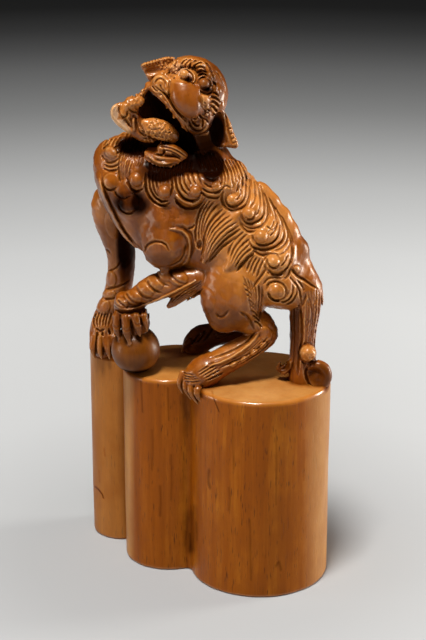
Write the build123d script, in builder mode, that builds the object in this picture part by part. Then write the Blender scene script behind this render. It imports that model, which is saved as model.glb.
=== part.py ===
# Seal stamp: an upright three-lobed wooden block with a lion carved on top.
#
# Frame: origin on the stamping face, at the centre of the rectangle round its
# outline; +Z up; +X along the row of lobes, from the small lobe (under the
# lion's head) to the big lobe (under its tail). Millimetres.
#
# The real carving is one block. It is divided here into its carved members,
# which meet face to face: each member is cut back to the ones it grows from.

import math
import os

from build123d import *

os.makedirs("parts", exist_ok=True)

# ---------------------------------------------------------------- block sizes
BLOCK_HEIGHT = 36.3            # stamping face to the lion's ground
BIG_RADIUS = 12.1              # big lobe, under the tail
BIG_AT = (11.2, 0.0)
MIDDLE_RADIUS = 7.95           # middle lobe, front part
MIDDLE_AT = (-5.35, -3.4)
MIDDLE_BACK_RADIUS = 7.7       # middle lobe, back part, makes it a little deeper
MIDDLE_BACK_AT = (-5.45, -1.0)
SMALL_RADIUS = 5.6             # small lobe, under the head
SMALL_AT = (-17.7, 0.0)
VALLEY_RADIUS = 1.3            # hollow fillet between two lobes
RIM_RADIUS = 0.9               # rounded top rim
FOOT_CHAMFER = 0.35            # eased edge round the stamping face

# stamping face: a generic key-pattern relief, no writing
RELIEF_DEPTH = 0.9
RELIEF_BORDER = 1.5            # raised border left round the outline
BAR = 0.9                      # width of a raised bar of the pattern
MIDDLE_SINK = 5.8              # sunk radius on the middle lobe, leaves the origin standing
KEY_AT = 4.0                   # centre of a square key from the big lobe's centre lines
KEY = [                        # a square key's centre line, from its outer end inwards
    (-2.3, 2.3),
    (2.3, 2.3),
    (2.3, -2.3),
    (-2.3, -2.3),
    (-2.3, 0.7),
    (0.7, 0.7),
    (0.7, -0.7),
    (-0.7, -0.7),
]

# ---------------------------------------------------- oblique side elevation
# The lion is laid out on an oblique elevation of its left side: u runs across,
# v runs down, both in elevation units; d is the level distance behind the
# plane through the axis of the block, in mm. at() turns (u, v, d) into a point.
UNIT = 0.1726                  # one elevation unit in mm, at the carving
TURN = 31.72                   # elevation's turn about Z from the block's front
TILT = 20.31                   # elevation's downward tilt
REACH = 313.8                  # distance of the elevation's point of sight
EYE = 1817.8                   # the same, in elevation units
LEVEL = 44.31                  # height of the elevation's centre
CENTRE = (213.0, 320.0)        # its place on the elevation
SHIFT = (1.26, 0.715)          # elevation axis to the block's origin

BALL_RADIUS = 4.3              # the ball under the left forepaw

_c, _s = math.cos(math.radians(TILT)), math.sin(math.radians(TILT))
_ct, _st = math.cos(math.radians(TURN)), math.sin(math.radians(TURN))


def turned(x, y):
    """A level direction of the elevation, in the block's frame."""
    return (x * _ct - y * _st, x * _st + y * _ct)


def at(u, v, d):
    a, b = (CENTRE[1] - v) / EYE, (u - CENTRE[0]) / EYE
    far = d + REACH * _c
    drop = far * (a * _c - _s) / (_c + a * _s)
    along = _c * far - _s * drop
    x, y = turned(b * along, d)
    return Vector(x + SHIFT[0], y + SHIFT[1], drop + REACH * _s + LEVEL)


# the lion's middle plane: upright, turned a little from the elevation
MID_LEAN = -0.22               # its slope in the elevation's plan
MID_D = -1.93 - 0.22 * 2.2     # its distance where u is at the centre
_n = math.hypot(MID_LEAN, 1.0)
ALONG = Vector(*turned(1.0 / _n, MID_LEAN / _n), 0)      # towards the tail
ASIDE = Vector(*turned(-MID_LEAN / _n, 1.0 / _n), 0)     # towards its right side


def stations(rows):
    """Section planes along a member's centre line.

    Each row is u, v, d, half width across the elevation, half width to the
    side. Yields the plane and the two half widths in mm, side first.
    """
    points = [at(*row[:3]) for row in rows]
    last = len(points) - 1
    for i, row in enumerate(rows):
        run = (points[min(i + 1, last)] - points[max(i - 1, 0)]).normalized()
        side = ASIDE - run * ASIDE.dot(run)
        yield (
            Plane(origin=points[i], x_dir=side, z_dir=run),
            row[4] * UNIT,
            row[3] * UNIT,
        )


def clear_of(*members):
    """Cut the member being made back to the ones it grows from."""
    for member in members:
        add(member.part, mode=Mode.SUBTRACT)


def limb(rows):
    """Loft elliptical sections along a centre line, in the current part."""
    sections = []
    for plane, side, across in stations(rows):
        with BuildSketch(plane) as section:
            Ellipse(side, across)
        sections.append(section.sketch)
    loft(sections)


def knob(u, v, d, radius):
    with Locations(Location(at(u, v, d))):
        Sphere(radius * UNIT)


def tidy(smallest):
    """Drop crumbs left by cutting: keep solids over a volume, in mm3."""
    whole = [s for s in BuildPart._get_context().part.solids() if s.volume > smallest]
    add(whole, mode=Mode.REPLACE)


# ================================================================ the block
with BuildPart() as seal_column:
    with BuildSketch(Plane.XY):
        with Locations(BIG_AT):
            Circle(BIG_RADIUS)
        with Locations(MIDDLE_AT):
            Circle(MIDDLE_RADIUS)
        with Locations(MIDDLE_BACK_AT):
            Circle(MIDDLE_BACK_RADIUS)
        with Locations(SMALL_AT):
            Circle(SMALL_RADIUS)
    extrude(amount=BLOCK_HEIGHT)
    valleys = seal_column.edges().filter_by(Axis.Z).filter_by(
        lambda e: abs(e.center().X - MIDDLE_AT[0]) > 3
    )
    fillet(valleys, VALLEY_RADIUS)
    fillet(seal_column.faces().sort_by(Axis.Z)[-1].outer_wire().edges(), RIM_RADIUS)
    chamfer(seal_column.faces().sort_by(Axis.Z)[0].outer_wire().edges(), FOOT_CHAMFER)

    # the relief: each lobe sinks inside its border, and the pattern stays
    # standing level with the border: four square keys, a rosette and a ring
    with BuildSketch(Plane.XY):
        with Locations(BIG_AT):
            Circle(BIG_RADIUS - RELIEF_BORDER)
        for quarter in range(4):
            turn = math.radians(90 * quarter)
            key = [(x + KEY_AT, y + KEY_AT) for x, y in KEY]
            with BuildLine():
                Polyline(
                    *[
                        (
                            BIG_AT[0] + x * math.cos(turn) - y * math.sin(turn),
                            BIG_AT[1] + x * math.sin(turn) + y * math.cos(turn),
                        )
                        for x, y in key
                    ]
                )
            trace(line_width=BAR, mode=Mode.SUBTRACT)
        with Locations(BIG_AT):
            Rectangle(BAR, 2 * (BIG_RADIUS - RELIEF_BORDER), mode=Mode.SUBTRACT)
            Rectangle(2 * (BIG_RADIUS - RELIEF_BORDER), BAR, mode=Mode.SUBTRACT)
    extrude(amount=RELIEF_DEPTH, mode=Mode.SUBTRACT)
    with BuildSketch(Plane.XY):
        with Locations(MIDDLE_AT):
            Circle(MIDDLE_SINK)
            Circle(MIDDLE_SINK - 1.2, mode=Mode.SUBTRACT)
            Circle(MIDDLE_SINK - 1.2 - BAR)
            with PolarLocations(2.25, 8):
                SlotOverall(2.6, BAR, mode=Mode.SUBTRACT)
        with Locations(SMALL_AT):
            Circle(SMALL_RADIUS - RELIEF_BORDER)
            Circle(SMALL_RADIUS - RELIEF_BORDER - 1.1, mode=Mode.SUBTRACT)
            Circle(SMALL_RADIUS - RELIEF_BORDER - 1.1 - BAR)
            Circle(0.8, mode=Mode.SUBTRACT)
    extrude(amount=RELIEF_DEPTH, mode=Mode.SUBTRACT)

# ================================================================ the body
TORSO = [
    (297, 306, -5.5, 12, 16),
    (290, 297, -5.3, 24, 28),
    (276, 277, -4.8, 35, 36),
    (254, 251, -4.0, 45, 38),
    (225, 228, -2.9, 56, 40),
    (190, 208, -1.7, 63, 40),
    (160, 190, -0.7, 60, 38),
    (134, 173, 0.2, 44, 33),
    (116, 160, 0.9, 22, 22),
    (111, 156, 1.1, 10, 10),
]
with BuildPart() as torso:
    limb(TORSO)

NECK = [
    (222, 192, -2.4, 30, 28),
    (212, 165, -1.9, 27, 27),
    (205, 138, -1.6, 23, 24),
    (200, 112, -1.5, 22, 22),
]
with BuildPart() as neck:
    limb(NECK)
    clear_of(torso)
    tidy(1)

# ================================================================ the head
SKULL_AT, SKULL_RADIUS = (190, 92.5, -1.5), 34
with BuildPart() as skull:
    knob(*SKULL_AT, SKULL_RADIUS)
    clear_of(neck)
    tidy(1)

NOSE_AT, NOSE_RADIUS = (187, 101, -6.6), 17
with BuildPart() as nose_muzzle:
    knob(*NOSE_AT, NOSE_RADIUS)
    clear_of(skull, neck)
    tidy(1)

UPPER_LIP = [
    (149, 84, -4.4, 3, 4),
    (157, 90, -5.4, 8, 8),
    (170, 104, -6.3, 9, 9),
    (183, 119, -6.3, 9, 9),
    (196, 129, -5.4, 8, 8),
    (205, 133, -4.6, 3, 4),
]
with BuildPart() as upper_lip:
    limb(UPPER_LIP)
    clear_of(skull, neck, nose_muzzle)
    tidy(1)

LOWER_JAW = [
    (186, 141, -2.0, 11, 9),
    (170, 136, -3.0, 16, 10),
    (150, 127, -4.3, 19, 10),
    (132, 119, -5.2, 18, 9),
    (118, 115, -5.8, 12, 7),
    (112.5, 114, -6.0, 4, 4),
]
with BuildPart() as lower_jaw:
    limb(LOWER_JAW)
    clear_of(neck, skull, torso)
    tidy(1)

TONGUE = [
    (172, 138, -4.4, 6, 6),
    (162, 134, -5.6, 12, 8),
    (150, 129, -6.4, 12, 7),
    (141, 124, -6.8, 4, 3),
]
with BuildPart() as tongue:
    limb(TONGUE)
    clear_of(lower_jaw, skull, neck)
    tidy(0.5)

UPPER_TEETH = [(159, 100, -5.8), (165, 110, -6.4), (172, 120, -6.7), (181, 129, -6.5)]
with BuildPart() as upper_teeth:
    for u, v, d in UPPER_TEETH:
        knob(u, v, d, 4)
    clear_of(upper_lip, skull, neck, nose_muzzle)
    tidy(0.02)

LOWER_TEETH = [(124, 110, -6.9), (130, 102, -6.4), (134, 123, -6.6), (140, 101, -5.8)]
with BuildPart() as lower_teeth:
    for u, v, d in LOWER_TEETH:
        knob(u, v, d, 4.5)
    clear_of(lower_jaw, tongue)
    tidy(0.02)

EYES = [(185, 76, -6.3), (205, 89, -6.4)]
with BuildPart() as eyes:
    for u, v, d in EYES:
        knob(u, v, d, 5)
    clear_of(skull, nose_muzzle)
    tidy(0.02)

BROWS = [
    (173, 67, -5.0),
    (186, 63.5, -5.1),
    (200, 67, -5.3),
    (210, 78, -5.5),
    (216, 91, -5.3),
    (219, 105, -4.6),
]
with BuildPart() as brow_tufts:
    for u, v, d in BROWS:
        knob(u, v, d, 5.5)
    clear_of(skull, eyes)
    tidy(0.02)

CHEEKS = [(161, 83, -5.6), (203, 122, -5.8)]
with BuildPart() as cheek_curls:
    for u, v, d in CHEEKS:
        knob(u, v, d, 10)
    clear_of(skull, nose_muzzle, upper_lip, neck, eyes)
    tidy(0.05)

RIGHT_EAR = [
    (176, 68, -1.5, 10, 9),
    (161, 67, -1.8, 10, 8),
    (150, 68, -2.0, 8, 5),
    (142, 66.5, -2.2, 1.5, 1.5),
]
with BuildPart() as right_ear:
    limb(RIGHT_EAR)
    clear_of(skull, cheek_curls, brow_tufts, upper_lip)
    tidy(0.5)

LEFT_EAR = [
    (219, 105, -1.5, 5, 6),
    (222, 118, -1.6, 9, 6),
    (226, 131, -1.7, 11, 6),
    (229, 141, -1.8, 10, 5),
    (231, 146.5, -1.8, 5, 2.5),
]
with BuildPart() as left_ear:
    limb(LEFT_EAR)
    clear_of(skull, neck, brow_tufts, cheek_curls)
    tidy(0.5)

BEARD = [
    (168, 145, -3.6, 5, 7),
    (161, 151, -3.9, 9, 9),
    (156, 157, -4.1, 8, 8),
    (153, 162, -4.2, 3, 3),
]
with BuildPart() as beard:
    limb(BEARD)
    clear_of(lower_jaw, torso, neck, tongue)
    tidy(0.5)

# ================================================================ mane, chest, back
MANE_COLLAR = [
    (116, 150, -2.0, 8, 12),
    (136, 168, -4.6, 13, 12),
    (160, 181, -6.4, 14, 10),
    (186, 187, -8.0, 14, 9),
    (212, 188, -8.4, 13, 9),
    (234, 180, -7.4, 10, 9),
    (245, 169, -5.0, 5, 6),
]
with BuildPart() as mane_collar:
    limb(MANE_COLLAR)
    clear_of(torso, neck, beard, lower_jaw)
    tidy(1)

MANE_BUNCH = [
    (126, 136, -1.4, 8, 10),
    (116, 145, -1.0, 13, 14),
    (109, 155, -0.2, 9, 10),
    (105, 163, 0.4, 3, 4),
]
with BuildPart() as mane_bunch:
    limb(MANE_BUNCH)
    clear_of(torso, mane_collar, lower_jaw, beard)
    tidy(1)

CHEST_CURLS = [(136, 179, -6.3, 8), (164, 192, -7.8, 9), (194, 191, -9.3, 9), (216, 187, -9.3, 7)]
with BuildPart() as chest_curls:
    for u, v, d, r in CHEST_CURLS:
        knob(u, v, d, r)
    clear_of(torso, mane_collar)
    tidy(0.05)

CHEST_SCALES = [(111, 181, -3.6, 10), (123, 195, -4.9, 11), (133, 208, -5.8, 11)]
with BuildPart() as chest_scales:
    for u, v, d, r in CHEST_SCALES:
        knob(u, v, d, r)
    clear_of(torso, mane_collar, chest_curls)
    tidy(0.05)

SPINE = [
    (246, 170, -3.9, 9),
    (258, 190, -4.2, 10),
    (273, 205, -4.6, 10),
    (285, 222, -5.0, 10),
    (295, 243, -5.3, 12),
    (298, 262, -5.4, 12),
]
with BuildPart() as spine_ridge:
    for u, v, d, r in SPINE:
        knob(u, v, d, r)
    clear_of(torso, mane_collar, neck)
    tidy(0.05)

FLANK_CURLS = [
    (233, 200, -8.6, 6),
    (248.5, 213.5, -9.1, 6),
    (261.5, 236, -10.1, 6),
    (274, 262, -10.7, 6.5),
    (276, 289, -10.4, 8),
]
with BuildPart() as flank_curls:
    for u, v, d, r in FLANK_CURLS:
        knob(u, v, d - 0.2, r)
        knob(u + 2, v - 3, d + 2.1, 2.4 * r)
    clear_of(torso, mane_collar)
    tidy(0.05)

# the same curls on the hidden right flank, mirrored in the lion's middle plane
MID_PLANE = Plane(origin=at(CENTRE[0], 250, MID_D), z_dir=ASIDE)
with BuildPart() as right_flank_curls:
    mirror(flank_curls.part, about=MID_PLANE)
    clear_of(torso, mane_collar, spine_ridge)
    tidy(0.05)

# ================================================================ left legs (seen side)
with BuildPart() as ball:
    ball_place = at(139.5, 346.5, -3.3)
    with Locations(Location((ball_place.X, ball_place.Y, BLOCK_HEIGHT + BALL_RADIUS - 0.2))):
        Sphere(BALL_RADIUS)
    clear_of(seal_column)

LEFT_UPPER_ARM = [
    (166, 206, -5.0, 9, 9),
    (166, 215, -5.4, 19, 16),
    (166, 236, -6.0, 24, 18),
    (167, 254, -6.0, 22, 16),
    (171, 266, -5.8, 12, 9),
]
with BuildPart() as left_upper_arm:
    limb(LEFT_UPPER_ARM)
    clear_of(torso, chest_curls, chest_scales, mane_collar)
    tidy(1)

LEFT_FOREARM = [
    (208, 275, -6.0, 8, 10),
    (194, 279, -6.0, 13, 13),
    (172, 283, -5.9, 14, 13),
    (152, 289, -5.2, 13, 12),
    (137, 296, -4.6, 9, 11),
    (125, 302, -4.0, 7, 10),
]
with BuildPart() as left_forearm:
    limb(LEFT_FOREARM)
    clear_of(torso, left_upper_arm, ball)
    tidy(1)

LEFT_FOREPAW = [
    (122, 299, -4.0, 7, 9),
    (129, 308, -3.8, 15, 14),
    (133, 318, -3.6, 17, 16),
    (134, 328, -3.6, 14, 13),
    (134, 334, -3.6, 6, 6),
]
with BuildPart() as left_forepaw:
    limb(LEFT_FOREPAW)
    clear_of(left_forearm, ball)
    tidy(1)

LEFT_FORECLAWS = [
    [(118, 322, -4.6, 3.5, 3.5), (114.5, 338, -4.9, 3, 3), (117, 352, -4.9, 1, 1)],
    [(124, 325, -6.6, 4, 4), (122, 338, -7.2, 3, 3), (124, 348, -7.2, 1, 1)],
    [(133, 325, -7.1, 4, 4), (132, 338, -7.9, 3, 3), (133, 348, -8.0, 1, 1)],
    [(143, 325, -6.9, 4, 4), (144, 337, -7.6, 3, 3), (144, 346, -7.7, 1, 1)],
]
with BuildPart() as left_foreclaws:
    for claw in LEFT_FORECLAWS:
        limb(claw)
    clear_of(left_forepaw, ball)
    tidy(0.05)

ELBOW_TUFT = [
    (202, 284, -5.6, 5, 7),
    (190, 291, -5.4, 7, 7),
    (178, 299, -5.2, 6, 6),
    (169, 306, -5.0, 2.5, 3),
]
with BuildPart() as elbow_tuft:
    limb(ELBOW_TUFT)
    clear_of(left_forearm, torso, left_upper_arm)
    tidy(0.3)

LEFT_THIGH = [
    (250, 262, -6.6, 20, 16),
    (242, 272, -7.0, 33, 22),
    (236, 288, -7.3, 34, 24),
    (230, 304, -7.5, 28, 22),
    (224, 316, -7.6, 18, 16),
    (220, 323, -7.6, 7, 8),
]
with BuildPart() as left_thigh:
    limb(LEFT_THIGH)
    clear_of(torso, flank_curls, left_forearm, elbow_tuft)
    tidy(1)

LEFT_SHIN = [
    (230, 316, -7.4, 11, 11),
    (246, 321, -7.4, 13, 12),
    (260, 327, -7.3, 12, 12),
    (270, 332, -7.3, 6, 6),
]
with BuildPart() as left_shin:
    limb(LEFT_SHIN)
    clear_of(left_thigh, torso)
    tidy(0.5)

LEFT_HIND_FOOT = [
    (273, 330, -7.3, 5, 6),
    (265, 337, -7.4, 11, 11),
    (246, 348, -8.0, 13, 13),
    (227, 359, -8.7, 14, 14),
    (211, 368, -9.1, 13, 14),
]
with BuildPart() as left_hind_foot:
    limb(LEFT_HIND_FOOT)
    clear_of(left_shin, left_thigh, seal_column)
    tidy(0.5)

LEFT_HIND_PAW = [
    (220, 363, -8.9, 11, 12),
    (207, 370, -9.2, 16, 15),
    (198, 376, -9.4, 14, 14),
    (189, 381, -9.5, 5, 6),
]
with BuildPart() as left_hind_paw:
    limb(LEFT_HIND_PAW)
    clear_of(left_hind_foot, seal_column)
    tidy(0.5)

LEFT_HIND_CLAWS = [
    [(183, 373, -8.9, 3, 3), (179, 383, -9.4, 2.7, 2.7), (183, 394, -9.4, 0.8, 0.8)],
    [(187, 376, -9.6, 3, 3), (185, 388, -10.4, 2.7, 2.7), (191, 400, -10.4, 0.8, 0.8)],
    [(193, 379, -10.3, 3, 3), (190, 391, -11.3, 3, 3), (198, 405, -11.3, 0.8, 0.8)],
    [(200, 382, -10.9, 3.5, 3), (197, 394, -12.0, 3, 3), (202, 404, -12.0, 0.8, 0.8)],
]
with BuildPart() as left_hind_claws:
    for claw in LEFT_HIND_CLAWS:
        limb(claw)
    clear_of(left_hind_paw, seal_column)
    tidy(0.05)

# ================================================================ right legs (far side)
RIGHT_FORELEG = [
    (146, 200, 2.2, 16, 16),
    (128, 196, 3.6, 21, 19),
    (114, 203, 4.7, 22, 19),
    (112, 216, 5.0, 19, 18),
    (116, 232, 5.2, 17, 16),
    (121, 252, 5.3, 14.5, 14),
    (121, 272, 5.4, 13.5, 13),
    (118, 290, 5.6, 13.5, 13),
    (113, 303, 5.8, 12.5, 13),
    (110, 310, 6.0, 10, 10),
]
with BuildPart() as right_foreleg:
    limb(RIGHT_FORELEG)
    clear_of(torso, chest_scales)
    tidy(1)

RIGHT_FOREPAW = [
    (111, 306, 5.9, 9, 10),
    (107, 318, 6.0, 14, 14),
    (104, 334, 6.0, 15, 15),
    (104, 346, 6.0, 13, 14),
    (104, 354, 5.9, 7, 8),
]
with BuildPart() as right_forepaw:
    limb(RIGHT_FOREPAW)
    clear_of(right_foreleg, seal_column)
    tidy(0.5)

with BuildPart() as right_foreclaws:
    for u, d in ((94, 4.4), (101, 3.6), (109, 3.6), (116, 4.4)):
        limb([(u, 337, d, 3.5, 3.5), (u - 1, 349, d - 0.5, 3.2, 3.2), (u, 360, d - 0.5, 1, 1)])
    clear_of(right_forepaw, seal_column, ball)
    tidy(0.05)

RIGHT_THIGH = [
    (258, 255, 0.0, 19, 14),
    (250, 268, 0.3, 31, 20),
    (244, 284, 0.6, 32, 21),
    (240, 300, 1.0, 26, 20),
    (238, 311, 1.3, 16, 14),
    (237, 318, 1.4, 7, 8),
]
with BuildPart() as right_thigh:
    limb(RIGHT_THIGH)
    clear_of(torso, left_thigh, right_flank_curls)
    tidy(1)

RIGHT_SHIN = [
    (238, 309, 1.6, 11, 11),
    (252, 311, 2.4, 12, 12),
    (265, 316, 3.2, 11, 11),
    (273, 320, 3.6, 5, 6),
]
with BuildPart() as right_shin:
    limb(RIGHT_SHIN)
    clear_of(right_thigh, torso, left_thigh, left_shin)
    tidy(0.5)

RIGHT_HIND_FOOT = [
    (274, 316, 3.6, 5, 6),
    (264, 320, 3.6, 10, 11),
    (240, 327, 4.2, 12, 12),
    (220, 333, 4.8, 12, 13),
    (206, 337, 5.2, 11, 12),
]
with BuildPart() as right_hind_foot:
    limb(RIGHT_HIND_FOOT)
    clear_of(right_shin, right_thigh, seal_column)
    tidy(0.5)

RIGHT_HIND_PAW = [
    (214, 334, 5.0, 10, 11),
    (203, 338, 5.3, 14, 14),
    (195, 343, 5.5, 12, 13),
    (188, 347, 5.6, 5, 6),
]
with BuildPart() as right_hind_paw:
    limb(RIGHT_HIND_PAW)
    clear_of(right_hind_foot, seal_column)
    tidy(0.5)

with BuildPart() as right_hind_claws:
    for n in range(4):
        u, d = 190 + 1.5 * n, 3.6 + 1.3 * n
        limb([(u, 341, d, 3, 3), (u - 5, 345, d, 2.6, 2.6), (u - 8, 352 - n, d, 0.8, 0.8)])
    clear_of(right_hind_paw, seal_column)
    tidy(0.02)

# ================================================================ the tail
TAIL = [
    (296, 270, -5.6, 11, 13),
    (302, 284, -5.8, 18, 18),
    (306, 300, -6.2, 17, 17),
    (304, 325, -6.6, 14, 15),
    (303, 350, -6.9, 13, 15),
    (303, 368, -7.1, 14, 15),
    (303, 381, -7.3, 14, 14),
]
TAIL_CURLS = [(309, 356, -9.8, 7), (319.5, 375, -9.3, 12.5), (284, 368, -7.9, 7)]
with BuildPart() as tail_curls:
    for u, v, d, r in TAIL_CURLS:
        knob(u, v, d, r)
    clear_of(seal_column)
    tidy(0.05)

with BuildPart() as tail:
    limb(TAIL)
    clear_of(torso, spine_ridge, flank_curls, seal_column, right_flank_curls, tail_curls)
    tidy(1)

# ================================================================ hair locks on the flank
FLANK_LOCKS = [
    [(238, 214, -9.0, 3, 3), (225, 228, -9.6, 7, 4), (212, 244, -9.4, 7, 4), (204, 262, -8.8, 2, 2)],
    [(256, 242, -9.9, 3, 3), (245, 250, -10.1, 6, 4), (235, 259, -10.2, 6, 4), (227, 268, -10.2, 2, 2)],
]
with BuildPart() as flank_locks:
    for lock in FLANK_LOCKS:
        limb(lock)
    clear_of(torso, flank_curls, left_thigh, left_upper_arm)
    tidy(0.05)

# ================================================================ files
MEMBERS = {
    "seal_column": seal_column,
    "torso": torso,
    "neck": neck,
    "skull": skull,
    "nose_muzzle": nose_muzzle,
    "upper_lip": upper_lip,
    "lower_jaw": lower_jaw,
    "tongue": tongue,
    "upper_teeth": upper_teeth,
    "lower_teeth": lower_teeth,
    "eyes": eyes,
    "brow_tufts": brow_tufts,
    "cheek_curls": cheek_curls,
    "right_ear": right_ear,
    "left_ear": left_ear,
    "beard": beard,
    "mane_collar": mane_collar,
    "mane_bunch": mane_bunch,
    "chest_curls": chest_curls,
    "chest_scales": chest_scales,
    "spine_ridge": spine_ridge,
    "flank_curls": flank_curls,
    "right_flank_curls": right_flank_curls,
    "flank_locks": flank_locks,
    "left_upper_arm": left_upper_arm,
    "left_forearm": left_forearm,
    "left_forepaw": left_forepaw,
    "left_foreclaws": left_foreclaws,
    "ball": ball,
    "elbow_tuft": elbow_tuft,
    "right_foreleg": right_foreleg,
    "right_forepaw": right_forepaw,
    "right_foreclaws": right_foreclaws,
    "left_thigh": left_thigh,
    "left_shin": left_shin,
    "left_hind_foot": left_hind_foot,
    "left_hind_paw": left_hind_paw,
    "left_hind_claws": left_hind_claws,
    "right_thigh": right_thigh,
    "right_shin": right_shin,
    "right_hind_foot": right_hind_foot,
    "right_hind_paw": right_hind_paw,
    "right_hind_claws": right_hind_claws,
    "tail": tail,
    "tail_curls": tail_curls,
}
for name, member in MEMBERS.items():
    member.part.label = name
    export_step(member.part, f"parts/{name}.step")
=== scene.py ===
import math

import bpy
import numpy as np
import openvdb
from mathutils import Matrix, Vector

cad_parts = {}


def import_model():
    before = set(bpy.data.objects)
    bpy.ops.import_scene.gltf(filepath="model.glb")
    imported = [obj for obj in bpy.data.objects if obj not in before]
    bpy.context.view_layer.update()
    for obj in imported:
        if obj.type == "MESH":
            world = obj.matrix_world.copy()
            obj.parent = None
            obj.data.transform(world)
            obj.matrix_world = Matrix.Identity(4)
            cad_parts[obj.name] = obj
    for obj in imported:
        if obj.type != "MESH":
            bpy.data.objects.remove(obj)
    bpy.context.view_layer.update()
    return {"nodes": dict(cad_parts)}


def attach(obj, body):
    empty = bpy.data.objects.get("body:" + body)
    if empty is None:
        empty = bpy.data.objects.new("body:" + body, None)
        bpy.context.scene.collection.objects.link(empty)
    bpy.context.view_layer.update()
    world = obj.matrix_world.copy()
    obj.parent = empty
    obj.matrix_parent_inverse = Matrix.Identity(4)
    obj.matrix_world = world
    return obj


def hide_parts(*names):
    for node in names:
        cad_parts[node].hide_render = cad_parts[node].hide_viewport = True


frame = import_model()

F4 = np.float32
MM = 0.001

# ============================================================ the elevation
# The carving is laid out on an oblique elevation: u across, v down, d the level
# distance behind the block's axis in mm. The same layout as the block's own.
UNIT, TURN, TILT = 0.1726, 31.72, 20.31
REACH, EYE, LEVEL = 313.8, 1817.8, 44.31
CENTRE, SHIFT = (213.0, 320.0), (1.26, 0.715)
BLOCK_HEIGHT = 36.3
BALL_RADIUS = 4.3
C, S = math.cos(math.radians(TILT)), math.sin(math.radians(TILT))
CT, ST = math.cos(math.radians(TURN)), math.sin(math.radians(TURN))
LEAN = -0.22
MID_D = -1.93 - 0.22 * 2.2
_n = math.hypot(LEAN, 1.0)


def turned(x, y):
    return np.array((x * CT - y * ST, x * ST + y * CT, 0.0))


def at(u, v, d):
    a, b = (CENTRE[1] - v) / EYE, (u - CENTRE[0]) / EYE
    far = d + REACH * C
    drop = far * (a * C - S) / (C + a * S)
    x, y = turned(b * (C * far - S * drop), d)[:2]
    return np.array((x + SHIFT[0], y + SHIFT[1], drop + REACH * S + LEVEL))


ALONG = turned(1.0 / _n, LEAN / _n)
ASIDE = turned(-LEAN / _n, 1.0 / _n)
MIDDLE = at(CENTRE[0], 250, MID_D) * (1, 1, 0)


def local(u, v, d):
    """A place of the elevation in the lion's own axes: along, aside, up."""
    p = at(u, v, d)
    return np.array(((p - MIDDLE) @ ALONG, (p - MIDDLE) @ ASIDE, p[2]))


def world(points):
    return (
        MIDDLE
        + points[:, :1] * ALONG
        + points[:, 1:2] * ASIDE
        + points[:, 2:3] * np.array((0.0, 0.0, 1.0))
    )


def elevation(p, q, z):
    """u, v, d of places given in the lion's own axes."""
    ox, oy = MIDDLE[0] - SHIFT[0], MIDDLE[1] - SHIFT[1]
    x = (ox * CT + oy * ST) + p * (ALONG[0] * CT + ALONG[1] * ST) + q * (ASIDE[0] * CT + ASIDE[1] * ST)
    d = (oy * CT - ox * ST) + p * (ALONG[1] * CT - ALONG[0] * ST) + q * (ASIDE[1] * CT - ASIDE[0] * ST)
    drop = z - F4(REACH * S + LEVEL)
    far = d + F4(REACH * C)
    along = F4(C) * far - F4(S) * drop
    return (
        F4(CENTRE[0]) + F4(EYE) * x / along,
        F4(CENTRE[1]) - F4(EYE) * (far * F4(S) + drop * F4(C)) / along,
        d + 0 * along,
    )


def curve(points, step=2.0, closed=False):
    """A smooth line through points of any dimension."""
    p = np.array(points, float)
    n = len(p)
    if closed:
        q = np.concatenate([p[-1:], p, p[:2]])
        last = n
    else:
        q = np.concatenate([2 * p[:1] - p[1:2], p, 2 * p[-1:] - p[-2:-1]])
        last = n - 1
    out = []
    for i in range(last):
        a, b, c, e = q[i], q[i + 1], q[i + 2], q[i + 3]
        m = max(1, int(math.ceil(np.linalg.norm((c - b)[:2]) / step)))
        for t in np.arange(m) / m:
            out.append(
                0.5
                * (
                    2 * b
                    + (c - a) * t
                    + (2 * a - 5 * b + 4 * c - e) * t * t
                    + (3 * b - a - 3 * c + e) * t * t * t
                )
            )
    if not closed:
        out.append(p[-1])
    return np.array(out)


# ============================================================ relief drawings
# A relief drawing holds, over a region of the elevation, how far the carver
# left the surface standing (up) or cut it down (down), in mm.
rng = np.random.RandomState(7)


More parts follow.
